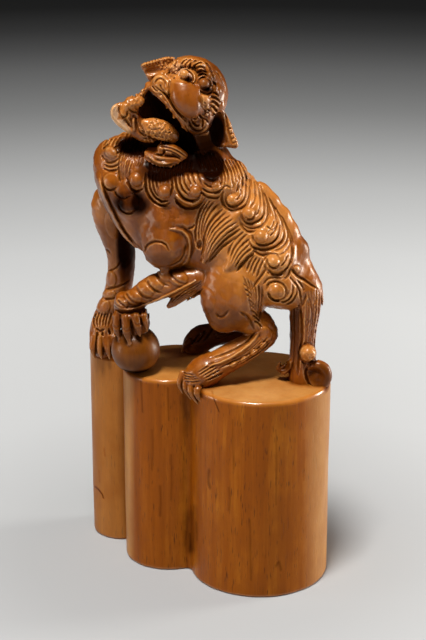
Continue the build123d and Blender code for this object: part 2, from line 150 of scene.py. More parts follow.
class Relief:
    def __init__(self, u0, v0, u1, v1, fine=5):
        self.u0, self.v0, self.s = u0, v0, fine
        self.up = np.zeros((int((u1 - u0) * fine), int((v1 - v0) * fine)), F4)
        self.down = np.zeros_like(self.up)

    def patch(self, lo, hi):
        n, m = self.up.shape
        i0, j0 = (int(math.floor((a - b) * self.s)) for a, b in zip(lo, (self.u0, self.v0)))
        i1, j1 = (int(math.ceil((a - b) * self.s)) + 1 for a, b in zip(hi, (self.u0, self.v0)))
        i0, j0, i1, j1 = max(i0, 0), max(j0, 0), min(i1, n), min(j1, m)
        if i1 <= i0 or j1 <= j0:
            return None
        u = (np.arange(i0, i1, dtype=F4) / self.s + self.u0)[:, None]
        v = (np.arange(j0, j1, dtype=F4) / self.s + self.v0)[None, :]
        return slice(i0, i1), slice(j0, j1), u, v

    def line(self, layer, points, width, depth, ends=(0.15, 0.25), power=1.0, jitter=0.12):
        pts = curve(points)
        pts = pts + rng.normal(0, jitter, pts.shape) * (np.arange(len(pts)) > 0)[:, None]
        depth = depth * (1 + rng.uniform(-0.15, 0.15))
        n = len(pts) - 1
        for i in range(n):
            a, b = pts[i], pts[i + 1]
            got = self.patch(np.minimum(a, b) - width, np.maximum(a, b) + width)
            if got is None:
                continue
            si, sj, u, v = got
            e = b - a
            t = np.clip(((u - a[0]) * e[0] + (v - a[1]) * e[1]) / max(e @ e, 1e-9), 0, 1)
            s = (i + t) / n
            w = np.minimum(1, np.minimum((s + 0.02) / max(ends[0], 1e-3), (1.02 - s) / max(ends[1], 1e-3)))
            w = np.maximum(w, 0.05) ** 0.6
            r = np.sqrt((u - a[0] - t * e[0]) ** 2 + (v - a[1] - t * e[1]) ** 2) / (width * w)
            h = (depth * w * np.clip(1 - r, 0, 1) ** power).astype(F4)
            layer[si, sj] = np.maximum(layer[si, sj], h)

    def groove(self, points, width=1.3, depth=0.28, **k):
        self.line(self.down, points, width, depth, **k)

    def ridge(self, points, width=2.0, height=0.3, **k):
        k.setdefault("power", 0.7)
        self.line(self.up, points, width, height, **k)

    def bump(self, u, v, r, h, stretch=1.0, turn=0.0, power=0.5, clear=False):
        """A rounded lump, r along its turned first axis and r times stretch across it."""
        reach = r * max(1.0, stretch)
        got = self.patch((u - reach, v - reach), (u + reach, v + reach))
        if got is None:
            return
        si, sj, uu, vv = got
        c, s = math.cos(math.radians(turn)), math.sin(math.radians(turn))
        x, y = (uu - u) * c + (vv - v) * s, (vv - v) * c - (uu - u) * s
        f = np.clip(1 - (x / r) ** 2 - (y / (r * stretch)) ** 2, 0, 1)
        if clear:
            self.down[si, sj] = np.where(f > 0, 0, self.down[si, sj])
        self.up[si, sj] = np.maximum(self.up[si, sj], (h * f ** power).astype(F4))

    def hollow(self, u, v, r, h, stretch=1.0, turn=0.0, power=0.7):
        self.up, self.down = self.down, self.up
        self.bump(u, v, r, h, stretch, turn, power)
        self.up, self.down = self.down, self.up

    def comb(self, first, second, n, width=1.35, depth=0.28, wander=0.12, **k):
        """n + 1 strand lines, evenly spread from one guide line to the other."""
        m = 9
        a, b = (resampled(curve(g), m) for g in (first, second))
        for i in range(n + 1):
            s = i / n + (rng.uniform(-wander, wander) / n if 0 < i < n else 0)
            lo, hi = rng.uniform(0, 0.06), rng.uniform(0.94, 1.0)
            pts = resampled(a * (1 - s) + b * s, m, lo, hi)
            self.groove(pts, width, depth, **k)

    def shell(self, u, v, radii, a0, a1, lead=None, squash=1.0, width=1.35, depth=0.3, drift=(0.0, 0.0)):
        """Nested arcs about a curl's ball. lead is where each arc comes from, past its first end."""
        for i, r in enumerate(radii):
            cu, cv = u + drift[0] * (r - radii[0]), v + drift[1] * (r - radii[0])
            angles = np.radians(np.linspace(a0, a1, 9))
            pts = [(cu + r * math.cos(a), cv + r * squash * math.sin(a)) for a in angles]
            if lead:
                pts.insert(0, (pts[0][0] + lead[0], pts[0][1] + lead[1]))
            self.groove(pts, width, depth, ends=(0.2, 0.12))

    def grain(self, outline, size, height, count):
        """Small carved facets scattered inside an outline."""
        box = np.array(outline)
        lo, hi = box.min(0), box.max(0)
        made = 0
        while made < count:
            u, v = rng.uniform(lo, hi)
            if not inside(outline, np.array([u]), np.array([v]))[0]:
                continue
            made += 1
            r = size * rng.uniform(0.7, 1.3)
            if made % 2:
                self.bump(u, v, r, height * rng.uniform(0.6, 1.2), rng.uniform(0.6, 1.0), rng.uniform(0, 180))
            else:
                self.hollow(u, v, r, height * rng.uniform(0.6, 1.2), rng.uniform(0.5, 0.9), rng.uniform(0, 180))

    def height(self):
        return self.up - self.down

    def read(self, table, u, v):
        n, m = table.shape
        x = np.clip((u - self.u0) * self.s, 0, n - 1.001)
        y = np.clip((v - self.v0) * self.s, 0, m - 1.001)
        i, j = x.astype(np.int32), y.astype(np.int32)
        x, y = x - i, y - j
        flat = table.ravel()
        k = i * m + j
        return (
            flat[k] * (1 - x) * (1 - y)
            + flat[k + m] * x * (1 - y)
            + flat[k + 1] * (1 - x) * y
            + flat[k + m + 1] * x * y
        )


def resampled(pts, m, lo=0.0, hi=1.0):
    pts = np.asarray(pts, float)
    run = np.concatenate([[0], np.cumsum(np.linalg.norm(np.diff(pts, axis=0), axis=1))])
    where = np.linspace(lo, hi, m) * run[-1]
    return np.stack([np.interp(where, run, pts[:, k]) for k in range(pts.shape[1])], 1)


def inside(outline, u, v):
    poly = np.asarray(outline, float)
    hit = np.zeros(np.broadcast(u, v).shape, bool)
    for a, b in zip(poly, np.roll(poly, -1, 0)):
        if a[1] == b[1]:
            continue
        cross = (a[1] > v) != (b[1] > v)
        hit ^= cross & (u < (b[0] - a[0]) * (v - a[1]) / (b[1] - a[1]) + a[0])
    return hit


# ------------------------------------------------------------------ the body
body = Relief(84, 128, 336, 412)
tail_map_strokes = []

# the front of the chest: the ridge down its edge, three scales, long strands
body.ridge([(99, 178), (103, 194), (112, 214), (121, 231), (131, 244), (141, 253)], 2.6, 0.4)
body.groove([(101, 172), (105.5, 192), (115, 212), (124, 229), (134, 242), (143, 250)], 1.6, 0.25)
for u, v, r in ((111, 181, 8.5), (124.5, 189, 9.5), (129, 202.5, 10.5)):
    body.bump(u, v, r, 0.45, power=0.45)
    body.groove([(u - r, v + 2), (u - 0.7 * r, v + 0.75 * r), (u, v + r + 0.4), (u + 0.72 * r, v + 0.72 * r)], 1.5, 0.35)
body.comb([(125, 139), (121, 152), (119, 165), (120, 178), (122, 187)], [(136, 147), (134.5, 156), (131, 166), (129, 176), (130.5, 187)], 5, 1.5, 0.36)
body.comb([(131, 150), (132, 160), (131, 168), (132, 172)], [(143, 158), (141, 164), (138, 168), (137, 170)], 4, 1.3, 0.32)
for path in (
    [(104, 160.5), (110, 162.5), (117, 160), (122, 155.5)],
    [(104, 164.5), (111, 167), (119, 164), (125, 158)],
    [(103, 168.5), (111, 171), (119, 169)],
    [(113, 149), (119, 145), (124, 140)],
    [(116, 154), (122, 150), (126, 142)],
    [(118, 158), (125, 152), (127.6, 143)],
    [(121, 162), (127, 155), (129.4, 145)],
    [(120, 168), (124, 161), (130, 155), (136, 151)],
    [(103, 150), (106, 146), (111, 142.6)],
    [(102, 155), (104, 159), (109, 160.5)],
):
    body.groove(path, 1.4, 0.34)
body.bump(111, 152.5, 6.5, 0.45, 0.85, 30)
body.comb([(109, 139), (105.6, 143), (103, 148)], [(122, 136), (118, 141), (116, 147)], 3, 1.4, 0.3)
body.comb([(128, 131), (127, 137), (126, 143)], [(146, 146), (145, 152), (143, 158)], 5, 1.5, 0.4)

# curls across the chest
for path, width, depth in (
    ([(146, 172), (145.6, 183), (147.4, 192), (152, 199.4), (158.4, 204), (165, 205.4), (171, 202.6)], 1.8, 0.5),
    ([(150, 172), (149.6, 182), (151.4, 190.6), (156, 197.4), (162, 201), (169, 200.4)], 1.5, 0.42),
    ([(153.6, 174), (153, 184), (155, 191.4), (159, 197)], 1.4, 0.38),
    ([(157, 174), (156.6, 183), (158.4, 190)], 1.4, 0.36),
    ([(160.4, 170), (160, 178), (161, 185)], 1.4, 0.4),
    ([(164, 169), (164, 177), (165, 184)], 1.4, 0.4),
    ([(167.6, 168), (168, 176), (168.4, 184)], 1.4, 0.4),
    ([(171.4, 168), (172, 178), (172.4, 188), (170.4, 196)], 1.6, 0.42),
    ([(175.4, 170), (175.6, 181), (178, 190.4), (183.4, 197.4), (190, 200.6), (197, 199)], 1.8, 0.5),
    ([(179.4, 172), (180, 182), (183.4, 190), (189.4, 195.6)], 1.5, 0.42),
    ([(183.4, 173), (184.4, 182), (188, 189), (191, 192)], 1.4, 0.38),
    ([(187.6, 173), (189, 180), (192, 186)], 1.4, 0.36),
    ([(192, 172), (193.4, 179), (196.6, 185)], 1.4, 0.36),
    ([(197, 171), (199, 178), (202, 186)], 1.4, 0.36),
    ([(174.4, 198), (180, 204.4), (187, 208), (195, 207.6), (202, 203), (206, 196)], 2.0, 0.55),
    ([(202, 188), (207, 191.4), (214, 192.4), (221, 190), (226, 184)], 1.6, 0.42),
    ([(204, 183), (209, 186.4), (215, 187), (221, 184), (224, 178)], 1.5, 0.4),
    ([(206, 178), (210.4, 181), (215.6, 181), (219.6, 177)], 1.4, 0.36),
    ([(200, 192), (207, 196.4), (216, 197.4), (223, 194)], 1.8, 0.45),
):
    body.groove(path, width, depth, jitter=0.15)
body.ridge([(175.6, 194.6), (180, 198.8), (187, 202.8), (193.4, 203.8), (199.4, 200), (202.4, 193.6)], 2.0, 0.45)
body.ridge([(156.6, 201.6), (162, 203.6), (168.4, 201.6)], 1.6, 0.3)
body.ridge([(129.6, 181), (131.8, 185.6), (136, 187.6), (141, 186.6), (144.8, 182)], 1.7, 0.36)
body.groove([(128, 178), (129.4, 184.4), (132.6, 189.4), (138, 191), (144, 188.4)], 1.7, 0.5)
body.comb([(214, 156), (219, 168), (222, 178), (221, 188)], [(241, 160), (247, 170), (249.4, 178), (249, 186)], 8, 1.4, 0.36)
body.comb([(196, 150), (199, 160), (202, 170)], [(212, 152), (216, 162), (220, 172)], 4, 1.5, 0.4)
body.comb([(150, 160), (151, 166), (151, 172)], [(192, 160), (191, 166), (190, 172)], 11, 1.4, 0.36)

# shell curls down the flank: strands come from above, round the right side and under
for path, width, depth in (
    ([(241, 188), (241, 194), (238, 198.5), (234, 200.5)], 1.4, 0.34),
    ([(245.5, 182), (246, 192), (244, 200), (238, 205), (231, 206), (226.4, 202.5), (226, 196)], 1.6, 0.42),
    ([(224, 189), (221.8, 197), (223.4, 204), (228, 209), (234, 211)], 1.8, 0.5),
    ([(249.5, 184), (249.4, 195), (246.5, 205), (240, 209), (234, 210.6)], 1.6, 0.42),
    ([(237, 180), (238, 187), (236, 193)], 1.3, 0.3),
    ([(241, 178), (242.5, 184), (241.6, 190)], 1.3, 0.3),
    ([(222, 188), (227, 186), (231, 188)], 1.4, 0.3),
    ([(231, 178), (233.5, 184), (232.5, 190)], 1.3, 0.28),
    ([(254.5, 188), (255.5, 197), (253, 204), (250, 208.6)], 1.4, 0.36),
    ([(259, 192), (260.5, 203), (258.6, 212), (253, 218)], 1.4, 0.38),
    ([(263, 198), (264.5, 208), (262.4, 217), (256, 222), (248, 223.4), (242.5, 219), (240.6, 212)], 1.6, 0.42),
    ([(266.5, 203), (268, 213), (266, 221), (260, 227), (251, 228.4), (243.4, 225), (238.6, 218)], 1.6, 0.42),
    ([(255.5, 211), (254.6, 216), (250, 219.2), (244.6, 216.6)], 1.4, 0.36),
    ([(240, 222.5), (244, 228.6), (250, 232), (257, 230)], 2.0, 0.55),
    ([(252, 234), (254.6, 241.6), (261, 244.8), (268.4, 244), (275, 240), (279, 233), (280, 224)], 1.7, 0.45),
    ([(248.6, 240), (252, 246.6), (261, 249.4), (271, 248.6), (277.4, 245.4), (283, 239), (284.6, 230)], 2.2, 0.58),
    ([(253, 250), (258, 253.4), (264, 255.2), (270.6, 253)], 2.1, 0.55),
    ([(267.6, 232), (272, 227), (274.5, 220)], 1.4, 0.36),
    ([(269.6, 236.5), (275, 230), (277.6, 222)], 1.5, 0.4),
    ([(272, 251.5), (280, 249), (286, 242.6), (288.4, 234), (287.4, 226)], 1.6, 0.42),
    ([(278, 256), (284.6, 252), (289.4, 246), (291, 238)], 1.4, 0.34),
    ([(286.4, 228), (290, 238), (292.4, 250), (291.4, 260), (288, 268)], 1.7, 0.42),
    ([(264.8, 262), (266, 257), (270, 254), (276.4, 254.6), (280.6, 259.6)], 1.5, 0.38),
    ([(265, 264), (266.4, 270), (270.6, 275)], 1.8, 0.5),
    ([(267, 268), (272, 273), (279.4, 274), (285, 269.4)], 2.6, 0.62),
    ([(280.6, 266), (285, 262), (288, 255)], 1.5, 0.4),
    ([(283.4, 271), (288, 266), (290.4, 258)], 1.5, 0.4),
    ([(283.6, 279.6), (288.6, 274.6), (291, 267)], 1.6, 0.42),
    ([(263, 284.6), (267.6, 279), (275, 277), (282.6, 278.6)], 1.6, 0.4),
    ([(266.6, 290), (269, 284), (275, 281.6), (281.6, 283.6), (285.8, 289), (285.6, 295), (281.4, 299.4)], 1.8, 0.5),
    ([(268, 292), (270.6, 297.6), (276.4, 300.4), (283, 299)], 1.8, 0.5),
    ([(279, 301.6), (284.6, 301.4), (290, 297.6), (293, 291), (292.6, 283)], 1.6, 0.42),
    ([(285, 305), (292, 300.8), (296.6, 293.4), (297, 284)], 1.5, 0.4),
    ([(266.8, 258.4), (267.6, 263), (271, 266.8), (276, 267), (279.6, 263.4)], 1.7, 0.5),
    ([(280, 300), (286.4, 296.4), (288.8, 290)], 1.3, 0.3),
    ([(296.6, 310), (303.6, 303), (306.6, 292)], 1.5, 0.38),
    ([(289, 277), (292.4, 280), (295.6, 286)], 1.3, 0.3),
):
    body.groove(path, width, depth, jitter=0.15)
    tail_map_strokes.append((path, width, depth))
body.bump(297, 269, 4.0, 0.5)
for path in (
    [(250, 170), (254.4, 182), (256, 194)],
    [(254.6, 177), (258.6, 188), (260.4, 199)],
    [(259.4, 184), (263, 195), (264.6, 206)],
    [(263.4, 192), (268.4, 206), (270, 220)],
    [(268.4, 197), (274.6, 210.4), (277, 224)],
    [(273.8, 206), (281, 219), (283.4, 232)],
    [(280.4, 215), (286, 226), (288.6, 238)],
    [(286.4, 226), (291.4, 238), (293.6, 252)],
    [(246, 168), (250, 180), (251.4, 190)],
    [(266, 226), (272.4, 230), (276.4, 225)],
    [(293, 280), (299, 290), (301.4, 302)],
    [(297, 279.6), (303.6, 289), (306, 300)],
):
    body.groove(path, 1.4, 0.36, jitter=0.1)
body.ridge([(293, 243), (294.4, 252), (292.6, 264)], 2.6, 0.22)
body.groove([(290, 268), (294, 272.4), (298.4, 277), (304, 279.6), (311, 285), (318, 289)], 1.9, 0.5)
body.comb([(303, 283), (305, 296), (304, 312)], [(316, 290), (320, 300), (320, 315)], 4, 1.4, 0.34)

# long flame locks sweeping down the flank
for path, width, depth in (
    ([(207, 199), (200.4, 210), (196.8, 224), (195.6, 237), (196.6, 248)], 1.9, 0.5),
    ([(210.6, 200), (204, 210), (200.4, 221), (198.8, 233), (199.2, 243)], 1.4, 0.36),
    ([(214.6, 201), (207.6, 209.6), (203.8, 219), (201.8, 230), (201.8, 241)], 1.5, 0.4),
    ([(219.4, 203), (213, 210), (207.4, 219), (204, 229), (202.8, 240)], 1.5, 0.4),
    ([(223, 209), (214.6, 217), (208.2, 226), (204.6, 236), (203.4, 247), (201.6, 256)], 2.1, 0.55),
    ([(226.4, 212), (217.6, 220), (211, 228), (206.8, 238), (204.6, 249), (202.4, 261)], 1.5, 0.38),
    ([(230.6, 215), (221, 222.6), (213.6, 230.4), (208.8, 239.4), (205.8, 250), (203.4, 262)], 1.5, 0.42),
    ([(233.6, 218.6), (224.4, 225), (216, 233), (210.4, 242), (206.8, 252), (204.6, 263)], 1.5, 0.42),
    ([(237, 222), (227, 228), (218.4, 236), (212, 245), (208, 255), (206, 264)], 1.5, 0.42),
    ([(240, 225.6), (230, 231.4), (220.8, 239.4), (213.8, 247.6), (209.2, 257), (207.2, 264)], 1.5, 0.42),
    ([(240.6, 229), (232, 234.6), (224, 240.6), (217, 248), (211.4, 256), (208, 262)], 1.9, 0.52),
    ([(238, 236), (231.6, 240.4), (225, 244.8), (217, 252), (209, 262)], 2.1, 0.55),
    ([(244.4, 231), (236, 238.6), (230.6, 247), (227.6, 257)], 1.5, 0.38),
    ([(248, 233.6), (239.6, 241.4), (233.4, 250.4), (229.4, 262)], 1.5, 0.42),
    ([(250.6, 238.4), (242.4, 245), (236, 253.4), (231.4, 264)], 1.5, 0.42),
    ([(252.4, 243), (244.6, 249), (238, 256.6), (233.4, 265.4)], 1.5, 0.42),
    ([(253, 247.6), (246, 252.6), (239.6, 259.6), (235, 267)], 1.7, 0.46),
    ([(255, 252), (247.4, 258), (240.8, 265.4), (237, 272)], 2.0, 0.52),
    ([(254.4, 255), (249.6, 263), (246.4, 272)], 1.5, 0.4),
    ([(257.4, 256.6), (252.8, 264.4), (249.4, 274)], 1.5, 0.4),
    ([(260.2, 258), (256.2, 266), (253, 276)], 1.5, 0.4),
    ([(263.2, 260), (259.8, 268.6), (256.4, 279)], 1.5, 0.4),
    ([(267.6, 267.6), (262.6, 274), (257, 281.4), (252, 290)], 1.9, 0.5),
):
    body.groove(path, width, depth, jitter=0.15)
body.hollow(199.6, 244.5, 3.2, 0.6, 1.6)

# the near shoulder and foreleg
body.bump(164, 217, 20, 0.35, 0.7, 10, power=1.5)
body.bump(181, 224, 12, 0.35, 0.8, 40, power=1.5)
body.bump(164, 250, 22, 0.5, 0.95, 90, power=1.3)
body.ridge([(168, 229), (176, 229.5), (184, 232.5), (189, 241), (189.5, 252), (186.5, 262), (178, 268)], 2.2, 0.35)
body.groove([(187, 229), (192, 227.5), (196.5, 223.5)], 1.7, 0.4)
body.groove([(176, 226), (185, 228.6), (192, 236), (193.4, 248), (190.6, 258)], 2.6, 0.3)
body.groove([(145, 252), (147, 245.5), (153, 242), (160, 242), (166, 245), (169, 251)], 1.8, 0.45)
body.groove([(145, 261), (152, 267.4), (161, 270.6)], 2.2, 0.4, ends=(0.1, 0.1))
body.groove([(186, 244), (184, 254), (178, 262), (168, 266)], 1.5, 0.3)
body.grain([(152, 206), (186, 208), (184, 222), (156, 220)], 1.1, 0.07, 40)
for u, v, r, turn in ((165, 274, 9, 25), (155, 282, 9.5, 28), (145.6, 289.4, 9.5, 26), (133, 297, 9.5, 22), (122, 303, 7, 20), (178, 278, 10, 15)):
    body.bump(u, v, r, 0.62, 0.8, turn, power=0.75)
for path in (
    [(157, 272.6), (158.6, 278), (163.6, 283.4), (171, 287)],
    [(147.6, 280), (149.6, 285.6), (155.4, 290.4), (163, 292.6)],
    [(137, 287), (140, 292.6), (146, 297), (154, 298)],
    [(126, 293), (129.6, 298.6), (136, 302.4), (144, 302.6)],
    [(118, 299.6), (121, 304), (126, 306.6)],
    [(170, 270), (172.4, 276), (178, 281.6), (186, 284)],
):
    body.groove(path, 2.1, 0.34, ends=(0.1, 0.3))
body.ridge([(114.6, 304), (120, 308), (129, 309.4), (140, 306.6), (152, 302), (167, 295.6), (182, 288), (196, 280.6)], 1.7, 0.42, ends=(0.1, 0.1))
body.groove([(115, 309.6), (124, 312.6), (134, 312), (146, 307.8), (158, 302.4), (172, 296)], 1.9, 0.5)
body.comb([(134, 308), (133, 314), (134, 321)], [(151, 305), (151, 313), (150, 322)], 5, 1.3, 0.35)
body.comb([(116, 314), (118, 320), (121, 326)], [(131, 312), (131, 318), (132, 325)], 4, 1.2, 0.26)
for path in ([(121, 318), (121.4, 327), (122, 336)], [(130.6, 318), (132, 327), (133.6, 336)], [(140.4, 318), (141.6, 325)], [(112.6, 316), (112.4, 324)]):
    body.groove(path, 1.7, 0.5)
for u, v in ((117, 333), (127, 336), (138, 330)):
    body.groove([(u - 3.4, v - 8), (u - 1.4, v - 5.4), (u + 1.4, v - 5.6), (u + 3.6, v - 8.6)], 1.3, 0.35)
body.comb([(204, 280), (194, 286), (182, 293), (170, 303)], [(204, 288), (196, 294), (186, 300), (175, 307)], 4, 1.3, 0.35)

# the near thigh, hock and hind foot
body.groove([(216, 313), (220, 316.6), (225, 315), (229, 310)], 2.2, 0.3)
body.groove([(240, 312), (247, 316), (252, 323), (255, 331)], 2.4, 0.35)
body.comb([(243, 276), (248, 288), (250, 302), (252, 316)], [(262, 286), (262, 298), (260, 312), (259, 322)], 5, 1.5, 0.4)
for k in range(8):
    u, v = 243.5 + 1.5 * k, 284 + 5.2 * k
    body.groove([(u, v), (u + 4, v + 2.4), (u + 7.6, v + 7)], 1.4, 0.42)
body.bump(266, 334, 8, 0.3, 0.8, 60)
body.ridge([(262, 329), (252, 342), (241, 351), (228, 359), (214, 364.5), (203, 366)], 2.0, 0.4)
body.groove([(256, 331), (247, 342), (236, 349), (222, 355), (210, 358)], 1.6, 0.35)
body.groove([(268, 337), (258, 348), (245, 356), (230, 363), (218, 369)], 1.7, 0.4)
body.comb([(272, 340), (262, 350), (250, 358), (236, 366)], [(262, 338), (252, 348), (240, 356), (226, 362)], 4, 1.2, 0.28)
for u, v in ((263, 345), (254, 352), (244, 359), (234, 364)):
    body.bump(u, v, 4.5, 0.35, 0.6, -35)
body.comb([(214, 362), (205, 368), (196, 374)], [(224, 372), (214, 377), (205, 381)], 4, 1.3, 0.3)
body.comb([(182, 372), (188, 374), (196, 375)], [(184, 381), (192, 382), (202, 381)], 3, 1.2, 0.26)
body.groove([(193, 386.5), (198, 387), (204, 385)], 1.5, 0.4)
body.bump(204, 300, 14, 0.25, 0.8, 70)

# ------------------------------------------------------------- the far legs
far = Relief(84, 190, 300, 370)
far.bump(112, 225, 14, 0.3, 0.5, 80)
far.groove([(106, 249), (109, 251), (110, 254)], 1.6, 0.25)
far.groove([(121, 262), (116, 268), (108, 271)], 1.7, 0.3)
far.groove([(106, 289), (114, 287.5), (122, 285), (129, 280)], 1.9, 0.4)
far.groove([(103, 300), (110, 298.5), (118, 298)], 1.6, 0.3)
far.bump(111, 279, 8, 0.3, 0.7, 80)
far.bump(109, 294, 7, 0.35, 0.6, 0)
far.bump(103, 306, 8, 0.4, 0.9, 60)
far.comb([(97, 312), (94, 320), (95, 329)], [(112, 312), (110, 320), (108, 328)], 5, 1.4, 0.35)
for path in ([(98, 330), (97, 340), (96, 352), (95, 358)], [(103, 330), (102, 342), (104, 356)], [(109, 328), (110, 340), (110, 354)], [(115, 330), (117, 342)]):
    far.groove(path, 1.7, 0.5)
far.groove([(96, 328), (100, 331), (105, 329)], 1.8, 0.45)
far.comb([(248, 272), (252, 288), (254, 304)], [(262, 280), (264, 292), (262, 306)], 4, 1.5, 0.35)
far.comb([(232, 322), (222, 328), (212, 332)], [(240, 330), (226, 336), (214, 340)], 3, 1.3, 0.3)
far.bump(222, 334, 7, 0.3, 0.7, 10)
far.groove([(214, 327), (210, 334), (204, 341)], 1.6, 0.4)
far.groove([(206, 330), (202, 337), (197, 343)], 1.6, 0.4)
far.groove([(200, 333), (196, 339), (191, 344)], 1.6, 0.4)

# ------------------------------------------------------------------ the tail
tail_map = Relief(264, 256, 344, 396)
tail_map.comb([(294, 292), (294, 318), (294.6, 338), (293.6, 356), (292, 378)], [(321, 286), (321, 310), (317, 332), (316, 350), (318, 372)], 11, 1.4, 0.34)
tail_map.groove([(299, 302), (302, 320), (302, 340), (299, 356), (298, 376)], 2.4, 0.55)
tail_map.groove([(308, 292), (312, 312), (311, 334), (309, 346)], 2.0, 0.4)
for path, width, depth in tail_map_strokes:
    tail_map.groove(path, width, depth, jitter=0.15)
tail_map.groove([(290, 268), (296, 274.5), (304, 279.5), (311, 285), (318, 289)], 1.9, 0.5)
tail_map.bump(308, 353, 8.5, 0.5, clear=True)
tail_map.groove([(299, 349), (303, 344.6), (309, 343), (315.4, 346)], 1.5, 0.4)
tail_map.groove([(298.6, 351), (298.6, 357), (302.6, 362), (308, 364)], 1.5, 0.4)
tail_map.grain([(301, 346), (314, 346), (315, 359), (302, 359)], 1.8, 0.15, 24)
tail_map.bump(319.5, 375, 12.5, 0.05, 1.05, clear=True, power=0.4)
tail_map.groove([(306.6, 366), (305.8, 374), (308.6, 383), (314, 388)], 1.8, 0.5)
tail_map.ridge([(290, 360), (290, 368), (285, 373), (280, 374)], 1.8, 0.4)
tail_map.groove([(286, 362), (285.5, 367), (281, 370)], 1.5, 0.4)

# ------------------------------------------------------------------ the face
head = Relief(98, 46, 246, 172, 6)
face = head
# crown and brow curls
for path in (
    [(182, 69), (181.6, 64.6), (184.4, 61), (188.6, 59.4)],
    [(186, 69), (186, 64.6), (189, 61), (193.6, 59.8)],
    [(189.6, 70), (189.6, 66), (193, 62), (199, 60.6)],
    [(193, 69), (195, 65.8), (199.4, 63), (203.6, 63.4)],
    [(194.6, 69.4), (197.6, 67.2), (202.4, 67), (205.8, 70)],
    [(196.6, 73.6), (199, 70.8), (203.4, 70.6), (207.4, 73.6)],
    [(197.6, 77.4), (200, 74.6), (204.4, 74), (208.2, 76.4)],
    [(198.4, 81.6), (200.4, 78.4), (204.4, 77.6), (208.6, 80)],
    [(176, 69), (175.5, 65), (178, 61.5)],
):
    face.groove(path, 1.25, 0.4, jitter=0.05)
for path in (
    [(187.6, 68.6), (187.8, 64.8), (191, 61.6)],
    [(191, 68), (193.6, 64), (198.4, 61.9)],
    [(195.4, 66.6), (198.6, 64.8), (203, 65)],
    [(197.4, 70.2), (200.4, 68.8), (205, 70.6)],
    [(199.4, 74.2), (202, 72.4), (206.4, 74)],
    [(199.2, 79), (201.2, 76.2), (205.6, 75.6)],
):
    face.ridge(path, 1.3, 0.3, jitter=0.05)
face.groove([(205, 62), (209, 67), (212, 74), (214, 81)], 1.3, 0.3)
face.groove([(214, 70), (219.4, 76), (223, 84), (225, 92)], 1.0, 0.2)
face.grain([(158, 60), (170, 57), (181, 60), (181, 70), (174, 79), (160, 73)], 1.5, 0.2, 110)
# eye on the left: lid, fold, corner
face.ridge([(178.5, 76), (180, 71.5), (184.5, 69.4), (190, 70.6), (193.8, 74.6), (194.6, 80), (192, 83.4)], 1.5, 0.4, jitter=0.04)
face.groove([(176.8, 74), (180, 68.8), (186, 66.8), (192.5, 68.4), (197, 73.5), (198, 81)], 1.2, 0.3, jitter=0.04)
face.groove([(180, 79.5), (184, 82.4), (189.5, 83)], 1.2, 0.3, jitter=0.04)
face.ridge([(179.5, 77.5), (183, 80.6), (188.5, 81.2)], 1.0, 0.22, jitter=0.04)
# eye on the right
face.ridge([(199, 83.4), (201, 79.8), (205.6, 78.4), (210, 80.8), (212, 85.4)], 1.5, 0.4, jitter=0.04)
face.ridge([(199.8, 88), (204, 90.8), (208.6, 90), (211.6, 86)], 1.2, 0.36, jitter=0.04)
face.groove([(199.6, 91.4), (204.5, 94), (210, 93.4), (214, 89)], 1.6, 0.45, jitter=0.04)
face.groove([(197.4, 84), (199.5, 78.4)], 1.2, 0.25, jitter=0.04)
# flame tufts at the right edge of the face
for path in (
    [(212.5, 81), (215.5, 86), (217, 92)],
    [(211, 92.5), (215, 93.2), (219, 97)],
    [(210, 97), (215, 97.6), (220, 102)],
    [(210, 101), (214.6, 102.2), (219, 107)],
    [(209, 105), (213, 107), (217, 112)],
    [(207, 109), (210.6, 112), (213.4, 117)],
):
    face.groove(path, 1.4, 0.42, jitter=0.05)
for path in ([(213.6, 84), (216.6, 89.4), (218, 95)], [(212, 94.8), (216.5, 96), (220.4, 100)], [(211, 99), (216, 100.4), (220, 105)], [(210, 103.2), (214.4, 105), (218, 110)]):
    face.ridge(path, 1.3, 0.3, jitter=0.05)
face.bump(204, 99.4, 6.0, 0.5, 0.9, 60)
face.bump(205.5, 105.5, 4.4, 0.3, 0.8, 60)
face.grain([(200, 102), (212, 100), (219, 110), (211, 119), (203, 113)], 1.5, 0.24, 34)
# nose bridge and the edge round the muzzle
face.groove([(170, 79), (175, 80.8), (183, 81), (191, 83), (198, 87.6)], 1.5, 0.3, jitter=0.04)
face.groove([(169.6, 87), (169.8, 94), (172.4, 101.5), (176.6, 107.6), (183, 112.8), (190.5, 115.6), (199, 113.6)], 1.7, 0.45, jitter=0.04)
face.groove([(200.2, 90), (201, 97), (200.4, 105), (199.6, 111)], 1.4, 0.35, jitter=0.04)
face.ridge([(172, 79), (171.6, 84), (171, 90)], 1.3, 0.25, jitter=0.04)
# cheek curl on the left
face.bump(161.5, 84, 9.5, 0.4, 1.2, 60)
for path in (
    [(151.6, 80), (155, 75.8), (160, 74), (165.4, 75.8), (169, 80)],
    [(154.6, 83.8), (157.4, 79.6), (161.6, 78.8), (165, 82), (165.8, 87)],
    [(169, 80.4), (171.6, 86), (171.4, 93), (169.4, 98)],
    [(160.2, 84.2), (161.4, 88.4), (165, 91.8)],
    [(152, 86), (155, 89.6), (158.6, 91.6)],
):
    face.groove(path, 1.3, 0.36, jitter=0.05)
face.ridge([(152.4, 82), (155, 77.4), (160, 74.8), (165, 76.6), (169, 81)], 1.3, 0.25, jitter=0.05)
face.bump(167.6, 91, 3.4, 0.35, 1.3, 70)
face.bump(158.2, 80.6, 3.4, 0.3, 0.8, 30)
face.bump(163.2, 84.8, 2.8, 0.4, 1.2, 60)
face.bump(154.8, 86, 2.8, 0.3)
